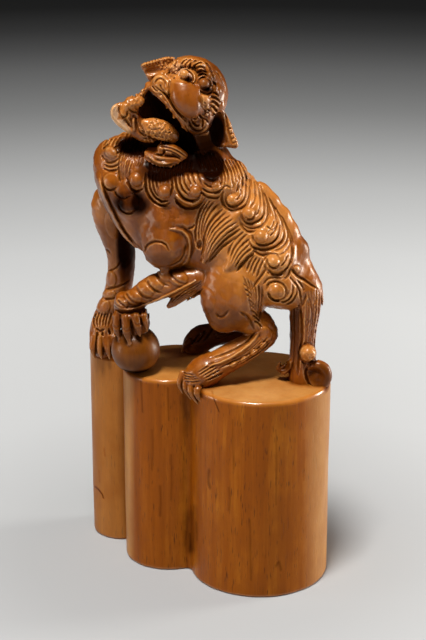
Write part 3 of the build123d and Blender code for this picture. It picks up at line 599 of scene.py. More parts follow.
# upper lip and its small teeth
face.ridge([(152.6, 88), (158, 91), (163, 94.2), (167.6, 100.4), (171.6, 107), (177, 114), (184, 121.4), (189, 127.6)], 1.1, 0.22, jitter=0.05)
face.groove([(155, 86.6), (160, 90), (164.8, 93.6), (169.6, 99.6), (173.4, 106), (179, 113), (186.4, 118.6)], 1.5, 0.4, jitter=0.05)
for u, v in ((161, 97), (166.6, 102.8), (171.6, 109.6), (177, 116.4)):
    face.bump(u, v, 1.7, 0.16, 1.3, -40)

# cheek curl on the right with its ball
face.bump(197, 124, 12, 0.3, 0.85, 10)
for path in (
    [(185.4, 125), (188.4, 131.4), (195, 134.2), (201.6, 133.2), (207.6, 129.6), (210, 122)],
    [(188.6, 119), (190.6, 125.4), (195.4, 130), (201, 130.4), (205.6, 126)],
    [(191, 117.4), (193.4, 122.8), (197.4, 125.6), (200.6, 124)],
    [(202.4, 118), (203, 124), (201.6, 128.6)],
    [(198, 113.6), (201.4, 117.4), (206, 119.6), (208.6, 124)],
):
    face.groove(path, 1.4, 0.42, jitter=0.05)
face.ridge([(187, 130.4), (192, 133), (198, 133.4), (205, 131.4), (209.6, 126)], 1.2, 0.28, jitter=0.05)
face.bump(189.4, 128.4, 3.4, 0.4, 1.2, 50)
face.bump(195, 119.4, 3.6, 0.55, 0.8, 20, clear=True)

# the near ear: notches across the strip beyond its hollow
face.groove([(224, 112), (227, 121), (228.6, 132), (231.6, 142), (231.4, 147)], 1.3, 0.3)
for path in ([(228, 129.4), (231.4, 128)], [(229.4, 134.6), (233.4, 132.6)], [(231, 139.6), (235, 137)], [(232.4, 143.6), (236.6, 141.4)]):
    face.groove(path, 1.2, 0.3, ends=(0.1, 0.3))

# the far ear: lit rim with notches, hollow below
face.ridge([(141.5, 65.2), (148, 63), (157, 60.8), (166, 58.6), (173, 58.6)], 2.4, 0.45)
for u in range(146, 172, 3):
    v = 64 - (u - 146) * 0.2
    face.groove([(u, v - 2.6), (u + 1, v), (u + 1.2, v + 2.4)], 1.1, 0.3)
face.hollow(154, 70.5, 9.5, 0.5, 0.5, -10)
face.groove([(146, 67.4), (153, 66), (161, 64), (168, 63)], 1.4, 0.35)
# lower jaw: lip, gums, canine, tongue
face.ridge([(117, 104), (113, 108), (111.8, 113), (113.4, 118), (118, 123), (124.6, 129), (130.6, 134)], 2.2, 0.3, ends=(0.1, 0.1), jitter=0.03)
face.groove([(111.6, 119), (115, 124.4), (121, 129), (130, 136)], 1.3, 0.25, jitter=0.03)
face.groove([(119.4, 105.4), (118.8, 110.6), (120.8, 115.2), (124, 117.2), (127, 115.4), (127.6, 110)], 1.3, 0.42, jitter=0.03)
face.groove([(124.4, 118.6), (127.6, 122.6), (131.4, 128.6)], 1.9, 0.6, jitter=0.04)
face.groove([(131, 117), (131.4, 123), (132, 131)], 1.1, 0.35, jitter=0.04)
face.groove([(136, 116), (136.4, 123), (138.6, 130), (143, 134.4)], 1.4, 0.4, jitter=0.04)
face.groove([(128, 108.4), (132, 111), (137, 112.4)], 1.2, 0.25, jitter=0.04)
face.bump(127.6, 116.4, 2.6, 0.3, 1.2, 40)
face.bump(140, 129.4, 2.8, 0.3, 0.8, 30)
face.groove([(146, 134), (152, 138), (160, 140.6), (168, 141.6)], 1.3, 0.3)
face.grain([(147, 124), (156, 118), (166, 124), (172, 134), (162, 139), (148, 134)], 1.2, 0.19, 170)
face.grain([(141, 129), (150, 134), (166, 137), (173, 140), (166, 144), (156, 143), (143, 139)], 1.3, 0.24, 120)
face.grain([(122, 101), (147, 87), (146, 97), (139, 108), (137, 122), (128, 112)], 1.7, 0.17, 60)
# beard
for path in ([(159.6, 146.4), (166, 147.2), (174, 149.6), (181, 153.4), (187, 157.6)], [(164, 150), (171, 151.4), (177, 154.6), (182, 158.4)], [(171.4, 153.6), (176, 156.2), (181, 160)]):
    face.groove(path, 1.2, 0.36, jitter=0.05)
face.groove([(163.6, 148.4), (164.6, 151.6), (163, 154.6), (158.4, 154.4)], 1.2, 0.4, jitter=0.05)
face.groove([(180, 158), (172, 156.4), (162, 155.6), (154, 153.6)], 1.7, 0.5)
face.ridge([(148, 155), (154, 161), (163, 164), (173, 163)], 1.6, 0.25)
face.groove([(166, 160), (160, 160.6), (155, 158.6)], 1.2, 0.26)

# hair on the back of the head, drawn on the same elevation
nape = Relief(98, 46, 246, 172, 5)
for k in range(7):
    a = [(158 + 9 * k, 58 + 2 * abs(k - 3)), (160 + 8.4 * k, 76), (166 + 7.6 * k, 96), (176 + 6 * k, 116), (184 + 5 * k, 138)]
    b = [(x + 8.2, y + 1) for x, y in a]
    nape.comb(a, b, 3, 1.4, 0.32)
    nape.groove(a, 2.2, 0.55)
for u, v in ((168, 84), (186, 78), (204, 86), (178, 108), (198, 112)):
    nape.shell(u, v, (4.5, 7.2, 10), -60, 170, depth=0.36)
    nape.bump(u, v, 3.6, 0.5, clear=True)

HEIGHTS = {name: (m, m.height()) for name, m in (("body", body), ("far", far), ("tail", tail_map), ("head", head), ("nape", nape))}

# ============================================================ the solid carving
FINE = 0.125
COARSE = 2 * FINE
FAR = F4(6.0)
REACH_OUT = 2.6

MEMBERS = [n for n in sorted(frame["nodes"]) if n != "seal_column"]
LABEL = {n: i + 1 for i, n in enumerate(MEMBERS)}

corners = []
for name in MEMBERS:
    co = np.zeros(len(frame["nodes"][name].data.vertices) * 3, F4)
    frame["nodes"][name].data.vertices.foreach_get("co", co)
    co = co.reshape(-1, 3) / MM
    corners.append(np.c_[(co - MIDDLE) @ ALONG, (co - MIDDLE) @ ASIDE, co[:, 2]])
corners = np.concatenate(corners)
LOW = corners.min(0) - 1.5
HIGH = corners.max(0) + 1.5


class Carving:
    """Distances to the carved surface on a regular grid, with the two nearest members at each place."""

    def __init__(self, low, counts, step):
        self.low, self.step = low, step
        self.axes = [F4(low[k]) + F4(step) * np.arange(counts[k], dtype=F4) for k in range(3)]
        shape = tuple(counts)
        self.sdf = np.full(shape, FAR, F4)
        self.near = np.full(shape, FAR, F4)
        self.next = np.full(shape, FAR, F4)
        self.who = np.zeros(shape, np.uint8)

    def slices(self, low, high):
        out = []
        for k in range(3):
            i = int(math.floor((low[k] - self.low[k]) / self.step))
            j = int(math.ceil((high[k] - self.low[k]) / self.step)) + 1
            out.append(slice(max(i, 0), max(min(j, len(self.axes[k])), 0)))
        return tuple(out)

    def grids(self, box):
        return (
            self.axes[0][box[0]][:, None, None],
            self.axes[1][box[1]][None, :, None],
            self.axes[2][box[2]][None, None, :],
        )

    def join(self, box, dist, who, soft):
        a = self.sdf[box]
        if soft > 0:
            h = np.clip(F4(soft) - np.abs(a - dist), 0, None) / F4(soft)
            self.sdf[box] = np.minimum(a, dist) - h * h * F4(soft / 4)
        else:
            self.sdf[box] = np.minimum(a, dist)
        near, nxt, own = self.near[box], self.next[box], self.who[box]
        mine = own == who
        closer = dist < near
        new_next = np.where(mine, nxt, np.where(closer, near, np.minimum(nxt, dist)))
        self.near[box] = np.minimum(near, dist)
        self.next[box] = new_next
        self.who[box] = np.where(closer, np.uint8(who), own)

    def cut(self, box, dist, soft):
        a = self.sdf[box]
        b = -dist
        h = np.clip(F4(soft) - np.abs(a - b), 0, None) / F4(max(soft, 1e-3))
        self.sdf[box] = np.maximum(a, b) + h * h * F4(soft / 4)

    def limb(self, rows, who, soft=0.6, mirror=False, cut=False, reach=REACH_OUT, parts=3):
        places = []
        for r in rows:
            p = local(*r[:3])
            if mirror:
                p[1] = -p[1]
            places.append((*p, r[4] * UNIT, r[3] * UNIT))
        pts = smooth_rows(np.array(places), parts)
        rad = pts[:, 3:].max() + reach
        box = self.slices(pts[:, :3].min(0) - rad, pts[:, :3].max(0) + rad)
        if any(b.stop <= b.start for b in box):
            return
        dist = np.full([b.stop - b.start for b in box], FAR, F4)
        for a, b in zip(pts[:-1], pts[1:]):
            r = max(a[3:].max(), b[3:].max()) + reach
            sub = self.slices(np.minimum(a[:3], b[:3]) - r, np.maximum(a[:3], b[:3]) + r)
            sub = tuple(slice(max(s.start, t.start), min(s.stop, t.stop)) for s, t in zip(sub, box))
            x, y, z = self.grids(sub)
            x, y, z = x - F4(a[0]), y - F4(a[1]), z - F4(a[2])
            d = (b[:3] - a[:3]).astype(F4)
            t = np.clip((x * d[0] + y * d[1] + z * d[2]) / F4(max(d @ d, 1e-6)), 0, 1)
            x, y, z = x - t * d[0], y - t * d[1], z - t * d[2]
            run = d / max(np.linalg.norm(d), 1e-6)
            side = np.array((0.0, 1.0, 0.0)) - run * run[1]
            side = (side / max(np.linalg.norm(side), 1e-6)).astype(F4)
            over = np.cross(run, side).astype(F4)
            ws = x * side[0] + y * side[1] + z * side[2]
            wa = x * over[0] + y * over[1] + z * over[2]
            rs = F4(a[3]) + t * F4(b[3] - a[3])
            ra = F4(a[4]) + t * F4(b[4] - a[4])
            w2 = x * x + y * y + z * z
            wl = np.clip(w2 - ws * ws - wa * wa, 0, None)
            e = np.sqrt((ws / rs) ** 2 + (wa / ra) ** 2 + wl / np.minimum(rs, ra) ** 2)
            n = np.sqrt(w2)
            got = n - n / np.maximum(e, F4(0.02))
            here = tuple(slice(s.start - t.start, s.stop - t.start) for s, t in zip(sub, box))
            dist[here] = np.minimum(dist[here], got)
        if cut:
            self.cut(box, dist, soft)
        else:
            self.join(box, dist, who, soft)

    def knob(self, u, v, d, r, who, soft=0.15, mirror=False, cut=False, reach=1.6):
        p = local(u, v, d)
        if mirror:
            p[1] = -p[1]
        self.ball(p, r * UNIT, who, soft, cut, reach)

    def ball(self, p, r, who, soft, cut=False, reach=1.6):
        box = self.slices(p - r - reach, p + r + reach)
        if any(b.stop <= b.start for b in box):
            return
        x, y, z = self.grids(box)
        dist = np.sqrt((x - F4(p[0])) ** 2 + (y - F4(p[1])) ** 2 + (z - F4(p[2])) ** 2) - F4(r)
        if cut:
            self.cut(box, dist, soft)
        else:
            self.join(box, dist, who, soft)

    def slab(self, outline, depth, half, who, soft=0.5, edge=0.5, cut=False, reach=1.4):
        """A leaf with a drawn outline: depth is d at its middle, as a number or (a, b, c) for a + b u + c v."""
        shape = curve(outline, 1.5, closed=True)
        a, b, c = depth if isinstance(depth, tuple) else (depth, 0.0, 0.0)
        lo, hi = shape.min(0) - 8, shape.max(0) + 8
        ends = []
        for u in (lo[0], hi[0]):
            for v in (lo[1], hi[1]):
                for w in (-half - reach, half + reach):
                    ends.append(local(u, v, a + b * u + c * v + w))
        ends = np.array(ends)
        box = self.slices(ends.min(0) - 0.5, ends.max(0) + 0.5)
        u, v, d = elevation(*self.grids(box))
        s = 3.0
        gu = np.arange(int((hi[0] - lo[0]) * s), dtype=F4)[:, None] / F4(s) + F4(lo[0])
        gv = np.arange(int((hi[1] - lo[1]) * s), dtype=F4)[None, :] / F4(s) + F4(lo[1])
        flat = np.full((gu.shape[0], gv.shape[1]), 1e3, F4)
        for p, q in zip(shape, np.roll(shape, -1, 0)):
            e = q - p
            t = np.clip(((gu - p[0]) * e[0] + (gv - p[1]) * e[1]) / max(e @ e, 1e-9), 0, 1)
            flat = np.minimum(flat, (gu - p[0] - t * e[0]) ** 2 + (gv - p[1] - t * e[1]) ** 2)
        flat = np.sqrt(flat) * np.where(inside(shape, gu, gv), -1, 1) * F4(UNIT)
        x = np.clip((u - F4(lo[0])) * F4(s), 0, flat.shape[0] - 1.001)
        y = np.clip((v - F4(lo[1])) * F4(s), 0, flat.shape[1] - 1.001)
        i, j = x.astype(np.int32), y.astype(np.int32)
        x, y = x - i, y - j
        f = (
            flat[i, j] * (1 - x) * (1 - y)
            + flat[i + 1, j] * x * (1 - y)
            + flat[i, j + 1] * (1 - x) * y
            + flat[i + 1, j + 1] * x * y
        )
        g = np.abs(d - (F4(a) + F4(b) * u + F4(c) * v)) - F4(half)
        fx, gx = f + F4(edge), g + F4(edge)
        dist = np.sqrt(np.clip(fx, 0, None) ** 2 + np.clip(gx, 0, None) ** 2) + np.minimum(np.maximum(fx, gx), 0) - F4(edge)
        dist = dist.astype(F4)
        if cut:
            self.cut(box, dist, soft)
        else:
            self.join(box, dist, who, soft)


def smooth_rows(rows, parts):
    """More stations between the given ones, on a smooth line."""
    if len(rows) < 2:
        return rows
    q = np.concatenate([2 * rows[:1] - rows[1:2], rows, 2 * rows[-1:] - rows[-2:-1]])
    out = []
    for i in range(len(rows) - 1):
        a, b, c, e = q[i : i + 4]
        for t in np.arange(parts) / parts:
            out.append(0.5 * (2 * b + (c - a) * t + (2 * a - 5 * b + 4 * c - e) * t * t + (3 * b - a - 3 * c + e) * t**3))
    out.append(rows[-1])
    out = np.array(out)
    out[:, 3:] = np.maximum(out[:, 3:], 0.12)
    return out


counts = [int(math.ceil((HIGH[k] - LOW[k]) / COARSE)) + 1 for k in range(3)]
rough = Carving(LOW, counts, COARSE)

# ---------------------------------------------------------- large members
TORSO = [(303, 296, -5.5, 8, 12), (293, 289, -5.3, 19, 25), (276, 274, -4.8, 33, 35), (254, 251, -4.0, 45, 38), (225, 228, -2.9, 56, 40), (190, 208, -1.7, 63, 40), (160, 190, -0.7, 60, 38), (134, 173, 0.2, 44, 33), (116, 160, 0.9, 22, 22), (111, 156, 1.1, 10, 10)]
NECK = [(220, 192, -2.2, 30, 28), (208, 166, -1.6, 25, 25), (200, 140, -1.0, 17, 19), (196, 114, -0.9, 18, 20)]
COLLAR = [(116, 150, -2.0, 8, 12), (136, 168, -4.6, 13, 12), (160, 181, -6.4, 14, 10), (186, 187, -8.0, 14, 9), (212, 188, -8.4, 13, 9), (232, 181, -7.4, 10, 9), (241, 172, -5.4, 5, 6)]
BUNCH = [(125, 143, -1.2, 8, 9), (115, 149, -1.0, 11, 12), (109, 156, -0.2, 9, 10), (105, 163, 0.4, 3, 4)]
UPPER_ARM = [(166, 206, -5.0, 9, 9), (166, 215, -5.4, 19, 16), (166, 236, -6.0, 24, 18), (167, 253, -6.0, 22, 15), (173, 261, -5.6, 10, 8)]
FOREARM = [(208, 275, -6.0, 8, 10), (194, 279, -6.0, 13, 13), (172, 283, -5.9, 14, 13), (152, 289, -5.2, 13, 12), (137, 296, -4.6, 9, 11), (125, 302, -4.0, 7, 10)]
FOREPAW = [(122, 299, -4.0, 7, 9), (129, 308, -3.8, 15, 14), (133, 318, -3.6, 17, 16), (134, 328, -3.6, 14, 13), (134, 334, -3.6, 6, 6)]
THIGH = [(250, 262, -6.6, 20, 16), (242, 272, -7.0, 33, 22), (236, 288, -7.3, 34, 24), (230, 304, -7.5, 28, 22), (224, 316, -7.6, 18, 16), (220, 323, -7.6, 7, 8)]
SHIN = [(230, 314, -7.4, 12, 12), (246, 318, -7.4, 15, 13), (261, 325, -7.2, 13.5, 12), (270, 331, -7.3, 6.5, 6)]
HIND_FOOT = [(273, 330, -7.3, 5, 6), (265, 337, -7.4, 11, 11), (246, 348, -8.0, 13, 13), (227, 359, -8.7, 14, 14), (211, 368, -9.1, 13, 14)]
HIND_PAW = [(220, 363, -8.9, 11, 12), (207, 370, -9.2, 16, 15), (198, 376, -9.4, 14, 14), (189, 381, -9.5, 5, 6)]
FAR_FORELEG = [(146, 200, 2.2, 16, 16), (128, 196, 3.6, 21, 19), (114, 203, 4.7, 22, 19), (112, 216, 5.0, 19, 18), (116, 232, 5.2, 17, 16), (121, 252, 5.3, 14.5, 14), (121, 272, 5.4, 13.5, 13), (118, 290, 5.6, 13.5, 13), (113, 303, 5.8, 12.5, 13), (110, 310, 6.0, 10, 10)]
FAR_FOREPAW = [(111, 306, 5.9, 9, 10), (107, 318, 6.0, 14, 14), (104, 334, 6.0, 15, 15), (104, 346, 6.0, 13, 14), (104, 354, 5.9, 7, 8)]
FAR_THIGH = [(258, 255, 0.0, 19, 14), (250, 268, 0.3, 31, 20), (244, 284, 0.6, 32, 21), (240, 300, 1.0, 26, 20), (238, 311, 1.3, 16, 14), (237, 318, 1.4, 7, 8)]
FAR_SHIN = [(238, 309, 1.6, 11, 11), (248, 312, 2.4, 11, 11), (257, 317, 3.2, 9, 10), (262, 320, 3.6, 5, 6)]
FAR_FOOT = [(262, 318, 3.6, 5, 6), (255, 321, 3.7, 10, 11), (240, 327, 4.2, 12, 12), (220, 333, 4.8, 12, 13), (206, 337, 5.2, 11, 12)]
FAR_PAW = [(214, 334, 5.0, 10, 11), (203, 338, 5.3, 14, 14), (195, 343, 5.5, 12, 13), (188, 347, 5.6, 5, 6)]
TAIL = [(296, 270, -5.6, 11, 13), (302, 284, -5.8, 18, 18), (306, 300, -6.2, 17, 17), (304, 325, -6.6, 14, 15), (303, 350, -6.9, 13, 15), (303, 368, -7.1, 14, 15), (303, 381, -7.3, 14, 14)]
for rows, name, soft in (
    (TORSO, "torso", 0.0),
    (NECK, "neck", 1.2),
    (COLLAR, "mane_collar", 1.6),
    (BUNCH, "mane_bunch", 0.8),
    (FAR_FORELEG, "right_foreleg", 0.8),
    (FAR_FOREPAW, "right_forepaw", 0.8),
    (FAR_THIGH, "right_thigh", 0.8),
    (FAR_SHIN, "right_shin", 0.6),
    (FAR_FOOT, "right_hind_foot", 0.5),
    (FAR_PAW, "right_hind_paw", 0.5),
    (UPPER_ARM, "left_upper_arm", 0.7),
    (FOREARM, "left_forearm", 0.5),
    (FOREPAW, "left_forepaw", 0.6),
    (THIGH, "left_thigh", 0.7),
    (SHIN, "left_shin", 0.6),
    (HIND_FOOT, "left_hind_foot", 0.4),
    (HIND_PAW, "left_hind_paw", 0.5),
    (TAIL, "tail", 0.5),
):
    rough.limb(rows, LABEL[name], soft)
rough.limb(COLLAR[:-2] + [(228, 184, -7.0, 6, 6)], LABEL["mane_collar"], 1.6, mirror=True)
for u, v, d, r in [(233, 200, -8.6, 6), (248.5, 213.5, -9.1, 6), (261.5, 236, -10.1, 6), (274, 262, -10.7, 6.5), (276, 289, -10.4, 8)]:
    rough.knob(u + 2, v - 3, d + 2.1, 2.4 * r, LABEL["flank_curls"], 0.7)
    rough.knob(u + 2, v - 3, d + 2.1, 2.4 * r, LABEL["right_flank_curls"], 0.7, mirror=True)

# ------------------------------------------------- the same, at fine spacing
fine_counts = [2 * n - 1 for n in counts]
work = Carving(LOW, fine_counts, FINE)


def doubled(a):
    for k in range(3):
        n = a.shape[k]
        shape = list(a.shape)
        shape[k] = 2 * n - 1
        out = np.empty(shape, a.dtype)
        even = [slice(None)] * 3
        odd = [slice(None)] * 3
        first = [slice(None)] * 3
        second = [slice(None)] * 3
        even[k], odd[k] = slice(0, None, 2), slice(1, None, 2)
        first[k], second[k] = slice(0, n - 1), slice(1, n)
        out[tuple(even)] = a
        if a.dtype == np.uint8:
            out[tuple(odd)] = a[tuple(first)]
        else:
            out[tuple(odd)] = (a[tuple(first)] + a[tuple(second)]) * F4(0.5)
        a = out
    return a


work.sdf, work.near, work.next, work.who = (doubled(a) for a in (rough.sdf, rough.near, rough.next, rough.who))
del rough
L = LABEL

# head: skull, muzzle, mouth
work.knob(190, 94, -1.5, 36.2, L["skull"], 0.8, reach=2.0)
work.limb([(183.6, 90, -6.7, 9, 10), (184.6, 95.6, -7.0, 10.5, 12), (187.6, 101.6, -7.0, 10, 12), (190.4, 107.6, -6.6, 7.4, 10.4)], L["nose_muzzle"], 0.3)
work.slab([(173.4, 81.4), (180, 81.2), (190, 84), (198, 88.6), (199.4, 98), (199.2, 108), (195.6, 115), (186, 113.8), (178.4, 108), (172.8, 100), (171.4, 90)], (-3.7, 0.0, -0.036), 0.8, L["nose_muzzle"], 1.6, 0.8)
work.limb([(205, 100, -6.2, 6, 6), (207, 108, -5.8, 7, 7), (202, 120, -5.6, 10, 9), (195, 126, -5.4, 8, 8)], L["cheek_curls"], 0.5)
work.limb([(161, 80, -4.9, 8, 8), (164, 88, -5.4, 8, 8)], L["cheek_curls"], 0.5)
work.limb([(150, 101, -6.0, 9, 16), (158, 108, -6.0, 13, 20), (168, 120, -6.0, 12, 20), (180, 133, -5.0, 9, 16), (189, 143, -3.4, 7, 12)], 0, 0.5, cut=True)
work.limb([(146, 96, -4.0, 6, 14), (150, 104, -3.5, 10, 18), (160, 114, -3.2, 11, 18), (172, 124, -3.0, 10, 16)], 0, 0.5, cut=True)
work.limb([(149, 84.5, -3.9, 3, 4), (157, 90.5, -5.2, 5, 5), (168.6, 101.4, -6.4, 4.6, 5), (181, 116, -6.8, 4.6, 5), (192, 129, -6.0, 5, 5), (205, 131.6, -4.8, 4, 4)], L["upper_lip"], 0.35)
work.slab([(150, 84), (145, 91), (140, 98), (137, 106), (138, 118), (146, 128), (162, 137), (180, 145), (196, 150), (204, 138), (196, 112), (176, 92)], 1.2, 1.5, L["lower_jaw"], 0.6, 1.0)
work.slab([(148, 84.5), (143, 89), (139, 92.3), (134, 96), (128, 97.6), (124, 101.6), (118, 103), (112.6, 107), (111, 112), (111.4, 118), (113.6, 122), (118, 126.6), (122, 129), (130, 135), (138, 140), (145, 142.8), (152, 143.6), (158, 143), (165, 141), (172, 137), (174, 129), (168, 122), (158, 117.5), (148, 119), (142, 117), (138.5, 111), (140, 104), (144, 97), (148.5, 91)], (-11.56, 0.052, 0.0), 1.28, L["lower_jaw"], 0.5, 0.9)
work.limb([(172, 136, -4.4, 7, 7), (163, 131, -5.4, 10, 8), (152, 127, -6.0, 9, 7), (145, 123, -6.2, 4, 4)], L["tongue"], 0.3)
work.limb([(122.4, 113.6, -6.3, 4.0, 3.6), (124.6, 106.8, -6.2, 3.0, 3.2)], L["lower_teeth"], 0.15)
work.limb([(134, 129, -5.7, 2.0, 2.6), (133.4, 120, -5.9, 1.8, 2.4)], L["lower_teeth"], 0.25)
work.knob(131.6, 104, -5.8, 5.0, L["lower_teeth"], 0.9)
work.knob(140, 101, -5.3, 4.4, L["lower_teeth"], 0.8)
for u, v, d in [(159, 99, -5.8), (165, 108.5, -6.6), (172, 118, -7.0), (181, 127, -6.9)]:
    work.limb([(u + 3, v - 3.2, d + 0.5, 2.2, 2.4), (u + 2, v - 0.6, d + 0.4, 1.2, 1.4)], L["upper_teeth"], 0.4)
work.knob(188.6, 78.2, -7.6, 4.0, 0, 0.4, cut=True)
work.knob(206, 89.5, -7.9, 5.6, 0, 0.2, cut=True)
work.knob(184.4, 74.4, -6.9, 4.4, L["eyes"], 0.05)
work.knob(203.8, 83.8, -6.7, 5.2, L["eyes"], 0.05)
for u, v, d in [(174, 66.5, -4.7), (186, 63.4, -4.9), (200, 66, -5.2), (210, 77, -5.5), (216, 91, -5.3), (219, 105, -4.4)]:
    work.knob(u, v, d, 5.4, L["brow_tufts"], 0.6)
work.slab([(141, 65), (149, 62.4), (158, 60), (168, 57), (176, 58), (180, 66), (172, 76), (160, 78), (152.4, 83), (148, 80), (144.6, 73)], (-2.4, 0.0, 0.0), 1.0, L["right_ear"], 0.5, 0.6)
work.slab([(220, 107), (223.4, 110), (227, 115.6), (230.6, 122.6), (233.6, 132), (236.6, 139), (238.4, 145), (236.4, 148.2), (230, 147.8), (222, 146.8), (213, 146), (208, 134), (208, 118), (213, 108)], (4.65, -0.035, 0.0), 0.95, L["left_ear"], 0.3, 0.6)
work.limb([(215, 113, -4.4, 4, 6), (217.4, 122, -4.6, 7, 7), (219, 133, -4.8, 7.6, 7), (223, 143, -4.7, 4.4, 6)], 0, 0.25, cut=True)
work.limb([(189, 158, -4.4, 3, 4), (180, 154, -5.2, 5, 6), (171, 149.6, -5.6, 5.4, 6), (161, 147.6, -5.7, 3.4, 4)], L["beard"], 0.3)
work.limb([(161, 148.4, -5.8, 3.4, 4), (160.4, 152.8, -5.9, 2.8, 3.4)], L["beard"], 0.15)
work.limb([(151, 153, -4.6, 5, 5), (165, 155.4, -5.0, 7, 6), (181, 157, -4.6, 5, 5)], L["beard"], 0.6)
work.limb([(182, 158, -5.0, 3.6, 5), (172, 160, -5.7, 5.6, 6), (160, 159.4, -6.0, 6.2, 6), (150, 156, -5.7, 3.6, 4), (146, 152.6, -5.4, 1.4, 2)], L["beard"], 0.6)

# curls and scales
for u, v, d, r in [(136.6, 179, -6.3, 7.4), (165, 191.6, -8.0, 6.4), (195.6, 191.4, -9.5, 5.6), (216, 186, -9.3, 5)]:
    for m in (False, True):
        work.knob(u, v, d - 0.2, r, L["chest_curls"], 0.12, mirror=m)
for u, v, d, r in [(111.5, 181, -2.1, 13), (124, 192, -3.2, 14), (131, 204, -4.0, 15)]:
    work.knob(u, v, d, r, L["chest_scales"], 1.1)
for u, v, d, r in [(238, 170, -3.4, 8), (261, 192, -4.2, 9), (271, 203, -4.5, 9), (281, 217, -4.8, 10), (289, 232, -5.1, 10), (297, 250, -5.4, 12), (301, 268, -5.5, 10)]:
    work.knob(u, v, d, r, L["spine_ridge"], 1.5)
for u, v, d, r in [(232, 199.5, -8.8, 5.8), (248.5, 213.5, -9.3, 5.8), (261.5, 236, -10.3, 5.8), (273.5, 262, -10.9, 6.2), (276.5, 290, -10.6, 7.8)]:
    work.knob(u, v, d, r, L["flank_curls"], 0.08)
    work.knob(u, v, d, r, L["right_flank_curls"], 0.08, mirror=True)
for rows in (
    [(238, 214, -9.0, 3, 3), (225, 228, -9.6, 7, 4), (212, 244, -9.4, 7, 4), (204, 262, -8.8, 2, 2)],
    [(256, 242, -9.9, 3, 3), (245, 250, -10.1, 6, 4), (235, 259, -10.2, 6, 4), (227, 268, -10.2, 2, 2)],
):
    work.limb(rows, L["flank_locks"], 0.8)

# near foreleg: the ball, the claws over it, the tuft at the elbow
ball_at = at(135.6, 346.5, -3.5)
ball_at[2] = BLOCK_HEIGHT + BALL_RADIUS - 0.3
ball_local = np.array(((ball_at - MIDDLE) @ ALONG, (ball_at - MIDDLE) @ ASIDE, ball_at[2]))
work.ball(ball_local, BALL_RADIUS - 0.12, L["ball"], 0.12)
for claw in (
    [(116.4, 318, -5.2, 4.8, 4.8), (117, 329, -5.8, 4.2, 4.2), (119.4, 340, -5.8, 1, 1)],
    [(125.4, 319, -6.6, 5.4, 5), (126.4, 331, -7.2, 4.8, 4.4), (129.6, 345, -7.3, 1, 1)],
    [(135.6, 318, -6.9, 5.2, 5), (137.4, 327, -7.3, 4.2, 4), (140, 337, -7.4, 1, 1)],
    [(144.4, 317, -6.4, 4, 4), (145.6, 324, -6.7, 3, 3.2), (147, 332, -6.8, 1, 1)],
):
    work.limb([(a, b - 1, c + 0.25, 0.92 * e, 0.92 * f) for a, b, c, e, f in claw], L["left_foreclaws"], 0.6, reach=1.4)
work.limb([(202, 284, -5.6, 5, 7), (190, 291, -5.4, 7, 7), (178, 299, -5.2, 6, 6), (169, 306, -5.0, 2.5, 3)], L["elbow_tuft"], 0.4)

# hind claws, far claws, the end of the tail
for claw in (
    [(183, 373, -8.9, 3.4, 3), (179.5, 383, -9.4, 2.8, 2.7), (182.5, 393, -9.4, 0.8, 0.8)],
    [(187, 376, -9.6, 3.4, 3), (185.5, 388, -10.4, 2.8, 2.7), (191, 399, -10.4, 0.8, 0.8)],
    [(193, 379, -10.3, 3.4, 3), (190.5, 391, -11.3, 3.1, 3), (198, 404, -11.3, 0.8, 0.8)],
    [(200, 382, -10.9, 4, 3), (197, 393, -12.0, 3.4, 3), (202, 403, -12.0, 0.8, 0.8)],
):
    work.limb(claw, L["left_hind_claws"], 0.12, reach=1.2)
for u, d in ((94, 4.4), (101, 3.6), (109, 3.6), (116, 4.4)):
    work.limb([(u, 337, d + 0.2, 3.7, 3.5), (u - 1.4, 348, d - 0.3, 3.2, 3.2), (u + 0.6, 358.6, d - 0.4, 0.8, 0.8)], L["right_foreclaws"], 0.6, reach=1.4)
for n in range(4):
    u, d = 190 + 1.5 * n, 3.6 + 1.3 * n
    work.limb([(u, 341, d, 3.4, 3), (u - 5, 345, d, 2.7, 2.6), (u - 8, 352 - n, d, 0.8, 0.8)], L["right_hind_claws"], 0.2, reach=1.2)
work.knob(308, 353, -9.5, 7.2, L["tail_curls"], 0.2)
work.limb([(290, 364, -7.7, 4, 4), (284, 369, -7.8, 4.4, 4.6), (279, 368, -7.8, 3, 4), (279.6, 363, -7.8, 1.6, 3)], L["tail_curls"], 0.4)
work.limb([(311, 366, -9.0, 3, 4), (317, 364.6, -9.3, 5, 5), (324, 368.6, -9.4, 5.4, 6), (326.6, 376, -9.4, 5.4, 6), (323, 383.4, -9.4, 5.4, 6), (315, 385, -9.3, 5, 6), (309.6, 381, -9.0, 4, 5)], L["tail_curls"], 0.5)
work.knob(317, 376, -8.6, 9, L["tail_curls"], 0.5)

# ------------------------------------------------------- cut the relief in
GROUP = {}
for name in MEMBERS:
    if name in ("torso", "neck", "mane_collar", "mane_bunch", "chest_curls", "chest_scales", "spine_ridge", "flank_curls", "right_flank_curls", "flank_locks"):
        GROUP[name] = "mirrored"
    elif name in ("tail", "tail_curls"):
        GROUP[name] = "tail"
    elif name.startswith("right_") and name != "right_ear":
        GROUP[name] = "far"
    elif name.startswith("left_") and name != "left_ear" or name == "elbow_tuft":
        GROUP[name] = "body"
    elif name == "ball":
        GROUP[name] = None
    else:
        GROUP[name] = "head"
PLAIN = {"ball": 0.0, "eyes": 0.0, "chest_curls": 0.25, "nose_muzzle": 0.12, "left_foreclaws": 0.3, "left_hind_claws": 0.2, "right_foreclaws": 0.3, "right_hind_claws": 0.2, "lower_teeth": 0.5}

